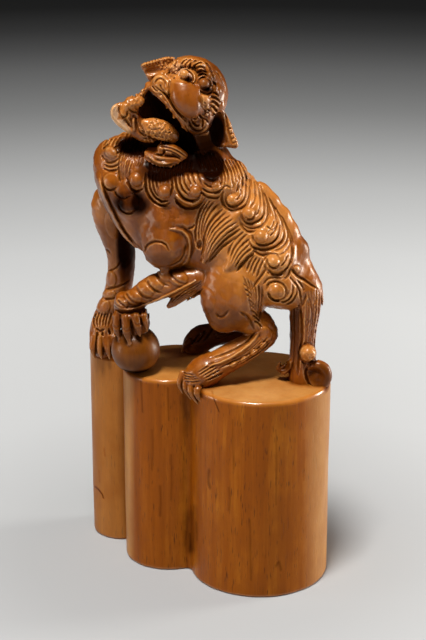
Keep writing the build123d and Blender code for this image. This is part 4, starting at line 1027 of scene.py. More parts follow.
group_no = np.zeros(len(MEMBERS) + 1, np.uint8)
scale_no = np.ones(len(MEMBERS) + 1, F4)
NAMES = ["mirrored", "tail", "far", "body", "head"]
for n in MEMBERS:
    group_no[LABEL[n]] = 0 if GROUP[n] is None else NAMES.index(GROUP[n]) + 1
    scale_no[LABEL[n]] = PLAIN.get(n, 1.0)

band = np.nonzero(np.abs(work.sdf) < F4(1.3))
P = work.axes[0][band[0]]
Q = work.axes[1][band[1]]
Z = work.axes[2][band[2]]
who = work.who[band]
grp = group_no[who]
flip = (grp == 1) & (Q > 0)
U, V, D = elevation(P, np.where(flip, -Q, Q), Z)
cut_by = np.zeros(len(U), F4)
for k, (map_name, numbers) in enumerate((("body", (1, 4)), ("tail", (2,)), ("far", (3,)), ("head", (5,)))):
    pick = np.isin(grp, numbers)
    m, table = HEIGHTS[map_name]
    got = m.read(table, U[pick], V[pick])
    if map_name == "head":
        m2, table2 = HEIGHTS["nape"]
        back = np.clip((D[pick] - F4(0.2)) / F4(1.2), 0, 1)
        ears = np.isin(who[pick], (L["left_ear"], L["right_ear"], L["lower_jaw"]))
        back = np.where(ears, 0, back * back * (3 - 2 * back))
        got = got * (1 - back) + m2.read(table2, U[pick], V[pick]) * back
    cut_by[pick] = got
cut_by += F4(0.045) * np.sin(F4(1.9) * P + F4(0.7)) * np.sin(F4(2.3) * Q + F4(1.1)) * np.sin(F4(2.1) * Z)
cut_by += F4(0.016) * np.sin(F4(4.3) * P + F4(2.0) * Q) * np.sin(F4(3.9) * Z - F4(1.7) * Q + F4(0.4))
cut_by *= scale_no[who]
work.sdf[band] -= cut_by
del P, Q, Z, U, V, D, flip, cut_by, band

# nothing of the carving below the block's top but the claws over its rim
zi = np.searchsorted(work.axes[2], BLOCK_HEIGHT - 0.6)
claws = [L["left_hind_claws"], L["right_foreclaws"], L["tail_curls"], L["left_hind_paw"]]
low = work.sdf[:, :, :zi]
keep = np.isin(work.who[:, :, :zi], claws)
low[~keep] = np.maximum(low, (F4(BLOCK_HEIGHT - 0.6) - work.axes[2][:zi])[None, None, :])[~keep]

# ============================================================ meshes
def sample(values, low, step, points):
    g = (points - low) / step
    n = np.array(values.shape)
    g = np.clip(g, 0, n - 1.001)
    i = g.astype(np.int32)
    f = (g - i).astype(F4)
    flat = values.ravel()
    k = (i[:, 0] * n[1] + i[:, 1]) * n[2] + i[:, 2]
    out = 0
    for a in (0, 1):
        wa = f[:, 0] if a else 1 - f[:, 0]
        for b in (0, 1):
            wb = f[:, 1] if b else 1 - f[:, 1]
            for c in (0, 1):
                wc = f[:, 2] if c else 1 - f[:, 2]
                out = out + flat[k + (a * n[1] + b) * n[2] + c] * (wa * wb * wc)
    return out


def skin(values, step):
    """Points and faces of the surface where values is nought."""
    limit = F4(3 * step)
    grid = openvdb.FloatGrid(background=float(limit))
    grid.copyFromArray(np.ascontiguousarray(np.clip(values, -limit, limit)), tolerance=0.0)
    return grid.convertToQuads(0.0)


def make_mesh(name, points, quads, normals, cavity, shade, patina_and_painted_shading):
    me = bpy.data.meshes.new(name)
    n, m = len(points), len(quads)
    me.vertices.add(n)
    me.vertices.foreach_set("co", (points * MM).astype(F4).ravel())
    me.loops.add(4 * m)
    me.loops.foreach_set("vertex_index", np.ascontiguousarray(quads, np.int32).ravel())
    me.polygons.add(m)
    me.polygons.foreach_set("loop_start", np.arange(0, 4 * m, 4, dtype=np.int32))
    me.polygons.foreach_set("use_smooth", np.ones(m, bool))
    me.update()
    me.validate()
    # the third attribute holds wear and old wax together with painted light and shade
    for label, values in (("cavity", cavity), ("shade", shade), ("patina_and_painted_shading", patina_and_painted_shading)):
        layer = me.attributes.new(label, "FLOAT", "POINT")
        layer.data.foreach_set("value", values.astype(F4))
    if normals is not None:
        me.normals_split_custom_set_from_vertices(normals.astype(float).tolist())
    ob = bpy.data.objects.new(name, me)
    bpy.context.scene.collection.objects.link(ob)
    return ob


def survey(values, low, step, points):
    """Normals, how hollow the surface is, and how shut in, at each point."""
    h = step * 1.0
    grad = np.stack([sample(values, low, step, points + e) - sample(values, low, step, points - e) for e in np.eye(3) * h], 1)
    grad /= np.maximum(np.linalg.norm(grad, axis=1, keepdims=True), 1e-6)
    w = 0.3
    around = sum(sample(values, low, step, points + e * s) for e in np.eye(3) * w for s in (-1, 1)) / 6
    cavity = (around - sample(values, low, step, points)) / w
    shut = 0.0
    for reach, weight in ((0.5, 0.25), (1.1, 0.3), (2.2, 0.45)):
        shut = shut + weight * np.clip(1 - sample(values, low, step, points + grad * reach) / reach, 0, 1)
    return grad, cavity, shut


# how the wood has grown old, with painted light and shade in the same map: above nought worn pale, and also painted
# light on lit places (the flank's sheen, the top of the thigh, the near ear's strip, the far wrist); below nought dark
# with old wax, and also painted shade where shadow falls (beneath the jaw and head, the neck and the collar there, the
# far legs, the ear and eye hollows, the lower thigh, the tail's foot and its scroll)
AGED_AND_SHADED = {
    "near": [
        (250, 226, 56, 62, 0.95), (286, 282, 34, 40, 0.55), (226, 186, 24, 18, 0.3), (300, 252, 12, 24, -0.45),
        (120, 200, 22, 50, 0.12), (196, 150, 36, 24, -0.85), (138, 146, 24, 13, -1.4), (180, 164, 36, 13, -1.2), (166, 175, 20, 10, -0.8),
        (213, 172, 18, 18, -0.6), (131, 203, 20, 14, -0.6), (142, 204, 12, 14, -0.4), (158, 264, 24, 12, -0.4),
        (110, 152, 14, 18, 0.15), (168, 250, 30, 30, -0.12), (222, 308, 30, 26, -0.05), (240, 352, 30, 16, 0.35),
        (192, 386, 16, 16, -0.25), (156, 168, 22, 16, -1.0), (213, 168, 13, 19, -0.9), (128, 322, 26, 26, -0.45), (146, 226, 16, 30, -0.35), (112, 212, 14, 34, -0.4), (150, 286, 26, 14, 0.25), (124, 196, 20, 20, -0.4), (228, 281, 20, 20, 0.3), (222, 318, 30, 16, -0.45), (246, 300, 14, 24, 0.2),
    ],
    "far": [(128, 245, 13, 50, -1.1), (116, 240, 20, 34, -0.3), (108, 204, 18, 20, 0.3), (108, 298, 16, 14, 0.35), (103, 330, 22, 34, -0.15), (215, 330, 60, 36, -0.95)],
    "tail": [(303, 320, 34, 60, -0.08), (308, 353, 9, 9, 1.0), (296, 330, 7, 44, -0.6), (284, 366, 9, 9, -0.8), (320, 376, 16, 16, -0.7), (300, 296, 26, 16, 0.4)],
    "head": [
        (174, 68, 28, 16, 0.8), (190, 70, 20, 14, 0.4), (157, 128, 22, 18, 1.15), (119, 119, 14, 20, 1.1),
        (135, 102, 15, 13, 0.7), (204, 100, 8, 9, 0.6), (160, 84, 15, 15, 0.5), (198, 124, 16, 13, -0.3),
        (217, 132, 9, 20, -1.5), (233, 134, 5, 18, 0.6), (113.6, 112, 5.6, 11, 1.7), (120, 124.4, 8, 5.6, 1.7), (127, 130.2, 7, 5, 1.4), (217, 84, 12, 26, -0.1), (189.2, 78.8, 4.8, 4.6, -1.7), (206, 89.4, 6, 3.4, -0.7), (213, 78, 15, 24, -0.5), (165, 157, 22, 9, -0.35), (176, 68, 10, 6, 0.4),
        (162, 158, 22, 8, 0.1), (192, 140, 18, 14, -0.6), (199, 105, 3, 10, -0.5),
    ],
}
MOUTH = [(146, 87), (151, 92), (158, 95.6), (164, 99), (169, 106), (175, 113), (181, 120), (187, 128), (193, 136), (200, 150), (186, 160), (150, 160), (132, 146), (140, 132), (136, 108), (140, 98)]


def aged_and_shaded(name, points):
    p, q, z = (points[:, k].astype(F4) for k in range(3))
    group = GROUP[name] or "body"
    if group == "mirrored":
        q = np.where(q > 0, -q, q)
    u, v, d = elevation(p, q, z)
    out = np.zeros(len(points), F4)
    for cu, cv, ru, rv, amount in AGED_AND_SHADED["near" if group in ("mirrored", "body") else group]:
        f = np.clip(1 - ((u - cu) / ru) ** 2 - ((v - cv) / rv) ** 2, 0, 1)
        out += F4(amount) * f * (2 - f) * F4(0.9)
    if group == "head" or name in ("torso", "neck"):
        # painted shade: inside the open mouth the surface is darkened to near black, apart from the tongue, beard and
        # teeth
        deep = np.clip((d + F4(4.9)) / F4(0.9), 0, 1) * inside(MOUTH, u, v) * (np.abs(d) < 6)
        if name not in ("tongue", "beard", "lower_teeth", "upper_teeth"):
            out = out - 3 * deep
    if group == "head":
        out = np.where(d > 0, out * F4(0.3) - F4(0.15), out)
    if name == "ball":
        # painted shade: the ball darker all over and darker toward its foot, with a painted shadow near black where it
        # sits on the block
        out -= F4(0.2) + F4(0.25) * np.clip((F4(BLOCK_HEIGHT + 4.0) - z) / F4(4.0), 0, 1) + F4(1.0) * np.clip((F4(BLOCK_HEIGHT + 1.5) - z) / F4(0.9), 0, 1)
    return np.clip(out, -1, 2)


OVERLAP = 0.35
pieces = {}
for name in MEMBERS:
    k = LABEL[name]
    mine = work.who == k
    near_surface = mine & (np.abs(work.sdf) < F4(1.2))
    where = [np.nonzero(near_surface.any(axis=tuple(a for a in range(3) if a != axis)))[0] for axis in range(3)]
    if any(len(w) == 0 for w in where):
        print("no voxels for", name)
        continue
    pad = int(math.ceil((OVERLAP + 4 * FINE) / FINE))
    box = tuple(slice(max(w[0] - pad, 0), min(w[-1] + pad + 1, work.sdf.shape[a])) for a, w in enumerate(where))
    near, nxt, sdf, own = work.near[box], work.next[box], work.sdf[box], mine[box]
    apart = (nxt - near) * F4(0.5)
    inner = np.where(own, -apart, apart)
    value = sdf + np.where(own, 0, F4(0.02) + F4(0.5) * np.clip(inner, 0, None))
    # a member is filled to a little way past its own share, and hollow inside is left out
    value = np.maximum(value, inner - F4(OVERLAP))
    value[0], value[-1] = 1, 1
    value[:, 0], value[:, -1] = 1, 1
    value[:, :, 0], value[:, :, -1] = 1, 1
    points, quads = skin(value, FINE)
    if len(points) == 0:
        print("no surface for", name)
        continue
    start = np.array([work.axes[a][box[a].start] for a in range(3)], float)
    points = points.astype(float) * FINE + start
    grad, cavity, shut = survey(work.sdf, LOW, FINE, points)
    normals = grad @ np.stack([ALONG, ASIDE, np.array((0.0, 0.0, 1.0))])
    pieces[name] = make_mesh("carved_" + name, world(points), quads, normals, cavity, shut, aged_and_shaded(name, points))

# ============================================================ the block
BIG_AT, BIG_RADIUS = (11.2, 0.0), 12.1
MIDDLE_AT, MIDDLE_RADIUS = (-5.35, -3.4), 7.95
BACK_AT, BACK_RADIUS = (-5.45, -1.0), 7.7
SMALL_AT, SMALL_RADIUS = (-17.7, 0.0), 5.6
STEP = 0.25
bx = np.arange(-24.5, 24.5, STEP, dtype=F4)
by = np.arange(-13, 13.5, STEP, dtype=F4)
bz = np.arange(-1.5, BLOCK_HEIGHT + 1.6, STEP, dtype=F4)
X, Y, Zc = bx[:, None], by[None, :], bz[None, None, :]


def disc(at_, r):
    return np.sqrt((X - F4(at_[0])) ** 2 + (Y - F4(at_[1])) ** 2) - F4(r)


def soft_min(a, b, k):
    h = np.clip(k - np.abs(a - b), 0, None) / k
    return np.minimum(a, b) - h * h * F4(k / 4)


def to_line(points, closed=False):
    out = np.full((len(bx), len(by)), 1e3, F4)
    pts = list(points) + ([points[0]] if closed else [])
    for a, b in zip(pts[:-1], pts[1:]):
        e = np.subtract(b, a)
        t = np.clip(((X - a[0]) * e[0] + (Y - a[1]) * e[1]) / (e @ e), 0, 1)
        out = np.minimum(out, np.sqrt((X - a[0] - t * e[0]) ** 2 + (Y - a[1] - t * e[1]) ** 2))
    return out


plan = np.minimum(disc(MIDDLE_AT, MIDDLE_RADIUS), disc(BACK_AT, BACK_RADIUS))
plan = soft_min(plan, disc(BIG_AT, BIG_RADIUS), 1.6)
plan = soft_min(plan, disc(SMALL_AT, SMALL_RADIUS), 1.6)
plan = plan[:, :, None]
wave = (
    0.03 * np.sin(X[:, :, None] * 0.5 + 1.0) * np.sin(Zc * 0.23 + 0.7)
    + 0.02 * np.sin(Y[:, :, None] * 0.9 + Zc * 0.13)
    + 0.02 * np.sin(X[:, :, None] * 1.7 + Zc * 0.31 + 2.0)
)
plan = plan + F4(0.07) + wave.astype(F4)
upper = Zc > BLOCK_HEIGHT / 2
rim = np.where(upper, F4(0.62), F4(0.35))
level = np.abs(Zc - F4(BLOCK_HEIGHT / 2)) - F4(BLOCK_HEIGHT / 2)
level = level + 0 * plan
dish = 0.12 * np.clip(1 + plan / 6, 0, 1)
level = np.where(upper, level + F4(0.02) + dish.astype(F4) * 0.3, level)
a, b = plan + rim, level + rim
block = np.sqrt(np.clip(a, 0, None) ** 2 + np.clip(b, 0, None) ** 2) + np.minimum(np.maximum(a, b), 0) - rim

# the stamping face: four square keys and a cross, a rosette, a ring and a dot
BAR, BORDER, SINK, KEY_AT = 0.9, 1.5, 5.8, 4.0
KEY = [(-2.3, 2.3), (2.3, 2.3), (2.3, -2.3), (-2.3, -2.3), (-2.3, 0.7), (0.7, 0.7), (0.7, -0.7), (-0.7, -0.7)]
raised = np.full((len(bx), len(by)), 1e3, F4)
for quarter in range(4):
    t = math.radians(90 * quarter)
    pts = [
        (
            BIG_AT[0] + (x + KEY_AT) * math.cos(t) - (y + KEY_AT) * math.sin(t),
            BIG_AT[1] + (x + KEY_AT) * math.sin(t) + (y + KEY_AT) * math.cos(t),
        )
        for x, y in KEY
    ]
    raised = np.minimum(raised, to_line(pts))
raised = np.minimum(raised, to_line([(BIG_AT[0], -12), (BIG_AT[0], 12)]))
raised = np.minimum(raised, to_line([(BIG_AT[0] - 12, 0), (BIG_AT[0] + 12, 0)]))
sunk = np.maximum(disc(BIG_AT, BIG_RADIUS - BORDER), F4(BAR / 2) - raised)
ring = np.abs(disc(MIDDLE_AT, SINK - 1.2 - BAR / 2)) - F4(BAR / 2)
petals = np.full((len(bx), len(by)), 1e3, F4)
for n in range(8):
    t = math.radians(45 * n)
    c, s = math.cos(t), math.sin(t)
    petals = np.minimum(petals, to_line([(MIDDLE_AT[0] + r * c, MIDDLE_AT[1] + r * s) for r in (1.4, 3.1)]))
sunk = np.minimum(sunk, np.maximum(np.maximum(disc(MIDDLE_AT, SINK), -ring), F4(BAR / 2) - petals))
inner_ring = np.abs(disc(SMALL_AT, SMALL_RADIUS - BORDER - 1.1 - BAR / 2)) - F4(BAR / 2)
sunk = np.minimum(sunk, np.maximum(np.maximum(disc(SMALL_AT, SMALL_RADIUS - BORDER), -inner_ring), F4(0.8) - disc(SMALL_AT, 0.0)))
recess = np.maximum(sunk[:, :, None], Zc - F4(0.9))
block = np.maximum(block, -recess)


def dent(x, y, z, r, flat=(1, 1, 1)):
    global block
    d = (np.sqrt(((X[:, :, None] - x) / flat[0]) ** 2 + ((Y[:, :, None] - y) / flat[1]) ** 2 + ((Zc - z) / flat[2]) ** 2) - r).astype(F4)
    block = np.maximum(block, -d)


def on_block(u, v, z):
    """Where the elevation's sight line to (u, v) crosses the level z, in plan."""
    lo, hi = -40.0, 40.0
    for _ in range(40):
        mid = (lo + hi) / 2
        if at(u, v, mid)[2] < z:
            lo = mid
        else:
            hi = mid
    return at(u, v, (lo + hi) / 2)


chip = on_block(113, 536, 0.9)
dent(chip[0] + 0.1, chip[1] - 0.35, 0.6, 0.8, (1.3, 1.0, 1.2))
chip = on_block(207, 396, BLOCK_HEIGHT - 0.3)
dent(chip[0], chip[1] - 0.2, BLOCK_HEIGHT - 0.3, 0.3, (1.2, 1.0, 1.0))

points, quads = skin(block, STEP)
start = np.array((bx[0], by[0], bz[0]), float)
points = points.astype(float) * STEP + start
grad, cavity, shut = survey(block, start, STEP, points)
# the top face worn paler; this map also carries painted reflections on the sides and a painted contact shadow on the
# top, set below
wear_and_painted_shading = np.clip((points[:, 2] - BLOCK_HEIGHT + 0.5) / 0.4, 0, 1) * 0.9
away = np.stack([(points[:, k] - MIDDLE[k]) for k in (0, 1)], 1).astype(F4)
su, sv, sd = elevation((away @ ALONG[:2]).astype(F4), (away @ ASIDE[:2]).astype(F4), points[:, 2].astype(F4))
seen = grad @ np.array((0.493, -0.798, 0.347)) > 0.05
flank_face = np.clip(1 - np.abs(grad[:, 2]) * 3, 0, 1)
# painted reflection and light: a pale strip down the middle lobe's left edge where it faces the viewer, a pale band
# growing toward the big lobe's right edge, and the small lobe's side painted lighter
wear_and_painted_shading = np.maximum(wear_and_painted_shading, flank_face * seen * np.clip(1.25 - np.abs(su - 127.6) / 6, 0, 1) * (points[:, 0] > -13.4))
wear_and_painted_shading = np.maximum(wear_and_painted_shading, flank_face * np.clip((su - 302) / 20, 0, 1))
wear_and_painted_shading = np.maximum(wear_and_painted_shading, flank_face * 0.5 * np.clip((-12.6 - points[:, 0]) / 2, 0, 1))
for marks, width, amount in (
    ([(95, 486.6), (98, 489), (102, 494), (103.4, 498)], 0.95, 1.2),
    ([(212, 391), (213.6, 398), (216.4, 405), (219, 412)], 0.7, 0.8),
    ([(141, 381), (141.6, 395), (142.6, 412)], 0.9, 0.5),
    ([(168, 388), (168.4, 402), (169, 420)], 0.9, 0.4),
    ([(188.6, 514), (188, 530), (190, 550)], 5.0, 0.35),
    ([(194, 508), (194.6, 530), (193.4, 548)], 4.0, 0.3),
    ([(190, 534), (190.2, 543), (189.8, 552)], 1.4, 0.3),
    ([(186, 532), (185.4, 545)], 1.3, 0.2),
    ([(196.4, 522), (197, 540)], 1.2, 0.2),
    ([(152, 430), (152.6, 450), (152, 470)], 0.9, 0.35),
    ([(160, 486), (160.6, 500), (160, 516)], 1.2, 0.35),
    ([(171, 455), (171.4, 480), (171, 500)], 1.0, 0.3),
    ([(209, 470), (208.4, 480), (210, 488)], 1.6, 0.45),
    ([(229, 488), (230, 500), (229, 510)], 1.4, 0.3),
    ([(233, 420), (233, 446), (234, 470)], 0.9, 0.3),
    ([(276, 430), (276.4, 470), (276, 505)], 0.9, 0.26),
    ([(250, 520), (250.4, 550), (251, 580)], 1.0, 0.3),
    ([(276, 566), (279, 562), (281, 570)], 1.4, 0.4),
    ([(304, 440), (304, 480)], 0.9, 0.25),
    ([(99, 470), (99.6, 482)], 0.8, 0.3),
    ([(104, 448), (105, 456)], 1.0, 0.4),
):
    line = curve(marks, 3)
    gap = np.full(len(su), 1e6, F4)
    for m0, m1 in zip(line[:-1], line[1:]):
        e = m1 - m0
        t = np.clip(((su - m0[0]) * e[0] + (sv - m0[1]) * e[1]) / max(e @ e, 1e-6), 0, 1)
        gap = np.minimum(gap, np.hypot(su - m0[0] - t * e[0], sv - m0[1] - t * e[1]))
    wear_and_painted_shading = wear_and_painted_shading - np.where(seen, amount * np.clip(1.3 - gap / width, 0, 1), 0)
here = np.stack([(away @ ALONG[:2]), (away @ ASIDE[:2]), points[:, 2]], 1)
# painted contact shadow: the block's top darkened close beneath the lion and the ball, both in the shade attribute and
# in the colour map
under = np.clip(1 - sample(work.sdf, LOW, FINE, here) / 1.7, 0, 1) * (points[:, 2] > BLOCK_HEIGHT - 1.2)
shut = np.maximum(shut, under)
wear_and_painted_shading = wear_and_painted_shading - 0.8 * under
cavity = cavity * 4.0
pieces["seal_column"] = make_mesh("carved_seal_column", points, quads, grad, cavity, shut, wear_and_painted_shading)

# ============================================================ materials
def lin(hexa):
    out = []
    for i in (0, 2, 4):
        c = int(hexa[i : i + 2], 16) / 255
        out.append(c / 12.92 if c <= 0.04045 else ((c + 0.055) / 1.055) ** 2.4)
    return (*out, 1.0)


def wood(name, pale, mid, dark, deep, rubbed_and_lit, edge, rough, grain, worn, gloss, coat, polish=0.0):
    mat = bpy.data.materials.new(name)
    mat.use_nodes = True
    tree = mat.node_tree
    nodes, links = tree.nodes, tree.links
    shader = nodes["Principled BSDF"]
    where = nodes.new("ShaderNodeTexCoord")

    def node(kind, **values):
        n = nodes.new(kind)
        for k, v in values.items():
            if k in n.inputs:
                n.inputs[k].default_value = v
            else:
                setattr(n, k, v)
        return n

    def mapped(scale, turn=(0, 0, 0)):
        m = node("ShaderNodeMapping")
        m.inputs["Scale"].default_value = scale
        m.inputs["Rotation"].default_value = turn
        links.new(where.outputs["Object"], m.inputs["Vector"])
        return m.outputs["Vector"]

    def noise(vector, scale, detail=3.0, rough_=0.55, distort=0.0):
        n = node("ShaderNodeTexNoise")
        n.inputs["Scale"].default_value = scale
        n.inputs["Detail"].default_value = detail
        n.inputs["Roughness"].default_value = rough_
        n.inputs["Distortion"].default_value = distort
        links.new(vector, n.inputs["Vector"])
        return n.outputs["Fac"]

    def ramp(value, stops):
        r = node("ShaderNodeValToRGB")
        e = r.color_ramp.elements
        while len(e) < len(stops):
            e.new(0.5)
        for el, (pos, col) in zip(e, stops):
            el.position, el.color = pos, col
        links.new(value, r.inputs["Fac"])
        return r.outputs["Color"]

    def remap(value, lo, hi, a=0.0, b=1.0):
        m = node("ShaderNodeMapRange")
        m.inputs["From Min"].default_value = lo
        m.inputs["From Max"].default_value = hi
        m.inputs["To Min"].default_value = a
        m.inputs["To Max"].default_value = b
        links.new(value, m.inputs["Value"])
        return m.outputs["Result"]

    def mix(fac, a, b, kind="MIX"):
        m = node("ShaderNodeMix", data_type="RGBA", blend_type=kind)
        if isinstance(fac, float):
            m.inputs[0].default_value = fac
        else:
            links.new(fac, m.inputs[0])
        for sock, val in ((m.inputs[6], a), (m.inputs[7], b)):
            if isinstance(val, tuple):
                sock.default_value = val
            else:
                links.new(val, sock)
        return m.outputs[2]

    def maths(op, a, b=None):
        m = node("ShaderNodeMath", operation=op)
        for i, val in enumerate((a, b)):
            if val is None:
                continue
            if isinstance(val, (int, float)):
                m.inputs[i].default_value = val
            else:
                links.new(val, m.inputs[i])
        return m.outputs[0]

    cavity = node("ShaderNodeAttribute", attribute_name="cavity").outputs["Fac"]
    shade = node("ShaderNodeAttribute", attribute_name="shade").outputs["Fac"]
    patina_and_painted_shading = node("ShaderNodeAttribute", attribute_name="patina_and_painted_shading").outputs["Fac"]

    # grain runs up the block: long along Z, fine across
    long_grain = mapped((1.0, 1.0, 0.06), (0.03, 0.02, 0))
    broad = noise(mapped((1, 1, 0.35)), 55.0, 3.0, 0.5)
    streak = noise(long_grain, 900.0, 4.0, 0.6, 0.4)
    line = noise(long_grain, 3200.0, 3.0, 0.6)
    pores = noise(mapped((1.0, 1.0, 0.09), (0.03, 0.02, 0)), 5200.0, 1.0, 0.5)
    fleck = noise(mapped((1, 1, 0.5)), 2600.0, 2.0, 0.5)

    wide = noise(mapped((1.0, 1.0, 0.05), (0.03, 0.02, 0)), 420.0, 3.0, 0.6)
    tone = maths("ADD", maths("MULTIPLY", broad, 0.3), maths("MULTIPLY", streak, 0.3))
    tone = maths("ADD", tone, maths("MULTIPLY", wide, 0.4))
    colour = ramp(tone, [(0.38, dark), (0.5, mid), (0.62, pale)])
    colour = mix(maths("MULTIPLY", remap(line, 0.55, 0.75), 0.35 * grain), colour, dark, "MIX")
    pore = maths("MULTIPLY", remap(pores, 0.63, 0.76), 0.7 * grain)
    colour = mix(pore, colour, deep)
    colour = mix(maths("MULTIPLY", remap(fleck, 0.7, 0.8), 0.25), colour, pale)
    blotch = noise(mapped((1, 1, 0.55)), 260.0, 4.0, 0.62)
    colour = mix(remap(blotch, 0.36, 0.62, 0.55, 0.0), colour, dark)
    # worn pale above nought and darkened below it, as the map of age and painted shading says: the pale side also holds
    # painted light and reflection on lit places, up to a near white colour; the dark side also holds painted shade
    # where shadow falls
    colour = mix(remap(patina_and_painted_shading, 0.0, 1.0, 0.0, 0.85), colour, mix(remap(broad, 0.35, 0.65), rubbed_and_lit[0], rubbed_and_lit[1]))
    colour = mix(remap(patina_and_painted_shading, 1.0, 2.0, 0.0, 0.75), colour, lin("e6c6a4"))
    colour = mix(remap(blotch, 0.38, 0.6, 0.3, 0.0), colour, mid)
    # the old wax darkening also carries painted shade, and takes the gloss off there too
    wax_and_shade_darkening = remap(patina_and_painted_shading, 0.0, -1.0, 1.0, 0.03)
    wax_and_shade_tint = node("ShaderNodeCombineColor")
    for i in range(3):
        links.new(maths("POWER", wax_and_shade_darkening, (1.0, 1.12, 1.25)[i]), wax_and_shade_tint.inputs[i])
    colour = mix(1.0, colour, wax_and_shade_tint.outputs[0], "MULTIPLY")
    # old grime in the cuts, and painted shade where the surface is shut in by what stands round it (the shade
    # attribute, which on the block also holds a painted contact shadow), both drawn toward the deep colour; worn pale
    # on what stands proud
    grime_and_painted_shade = maths("MAXIMUM", remap(cavity, -0.02, -0.32), remap(shade, 0.42, 0.95))
    patch = noise(mapped((1, 1, 1)), 700.0, 3.0, 0.6)
    grime_and_painted_shade = maths("MULTIPLY", grime_and_painted_shade, remap(patch, 0.25, 0.6, 0.65, 1.0))
    grime_and_painted_shade = maths("MULTIPLY", grime_and_painted_shade, remap(patina_and_painted_shading, 0.1, 1.0, 1.0, 0.62))
    colour = mix(maths("MULTIPLY", grime_and_painted_shade, 0.68), colour, deep)
    rub = maths("MULTIPLY", remap(cavity, 0.06, 0.32), worn)
    rub = maths("MULTIPLY", rub, remap(shade, 0.5, 0.15))
    rub = maths("MULTIPLY", rub, remap(patina_and_painted_shading, 0.0, -0.7, 1.0, 0.0))
    colour = mix(rub, colour, edge)
    links.new(colour, shader.inputs["Base Color"])

    r = remap(noise(mapped((1, 1, 0.3)), 420.0, 3.0), 0.3, 0.7, rough - 0.07, rough + 0.1)
    r = maths("ADD", r, maths("MULTIPLY", grime_and_painted_shade, 0.25))
    r = maths("SUBTRACT", r, maths("MULTIPLY", rub, 0.08))
    links.new(r, shader.inputs["Roughness"])
    clean = maths("MULTIPLY", maths("SUBTRACT", 1.0, maths("MULTIPLY", grime_and_painted_shade, 0.8)), wax_and_shade_darkening)
    links.new(maths("MULTIPLY", clean, gloss), shader.inputs["Specular IOR Level"])
    shader.inputs["Specular Tint"].default_value = (1.0, 0.84, 0.66, 1.0)
    shader.inputs["IOR"].default_value = 1.5
    links.new(maths("ADD", maths("MULTIPLY", clean, coat), maths("MULTIPLY", rub, polish)), shader.inputs["Coat Weight"])
    shader.inputs["Coat Tint"].default_value = (1.0, 0.93, 0.84, 1.0)
    shader.inputs["Coat Roughness"].default_value = 0.17
    shader.inputs["Subsurface Weight"].default_value = 0.04
    shader.inputs["Subsurface Radius"].default_value = (0.0009, 0.0004, 0.0002)
    shader.inputs["Subsurface Scale"].default_value = 1.0

    height = maths("ADD", maths("MULTIPLY", streak, 0.3), maths("MULTIPLY", line, 0.25))
    height = maths("SUBTRACT", height, maths("MULTIPLY", pore, 0.8))
    height = maths("ADD", height, maths("MULTIPLY", noise(mapped((1, 1, 1)), 1500.0, 3.0), 0.35))
    bump = node("ShaderNodeBump")
    bump.inputs["Strength"].default_value = 0.65
    bump.inputs["Distance"].default_value = 0.00006
    links.new(height, bump.inputs["Height"])
    links.new(bump.outputs["Normal"], shader.inputs["Normal"])
    return mat


block_wood = wood("block_wood", lin("ac6410"), lin("944c00"), lin("7a3a00"), lin("341200"), (lin("b47c3c"), lin("c48e52")), lin("b87428"), 0.42, 1.4, 0.5, 0.2, 0.0, 2.0)
lion_wood = wood("lion_wood", lin("b0681a"), lin("924e08"), lin("763602"), lin("200900"), (lin("b8702c"), lin("c8843e")), lin("d09858"), 0.37, 0.5, 0.6, 0.42, 0.32)
# ball_wood is the lion's wood painted darker, as painted shade for the ball lying beneath the paw
ball_wood = wood("ball_wood", lin("945814"), lin("7c4406"), lin("643002"), lin("180700"), (lin("a06430"), lin("b07640")), lin("b87c40"), 0.4, 0.6, 0.3, 0.3, 0.15)

for name, ob in pieces.items():
    which, mat = ("lion_wood", lion_wood)
    if name == "seal_column":
        which, mat = ("block_wood", block_wood)
    elif name == "ball":
        which, mat = ("ball_wood", ball_wood)
    ob.data.materials.append(mat)
    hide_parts(name)
    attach(ob, "root")
for name in frame["nodes"]:
    if name not in pieces:
        frame["nodes"][name].data.materials.clear()
        frame["nodes"][name].data.materials.append(lion_wood)

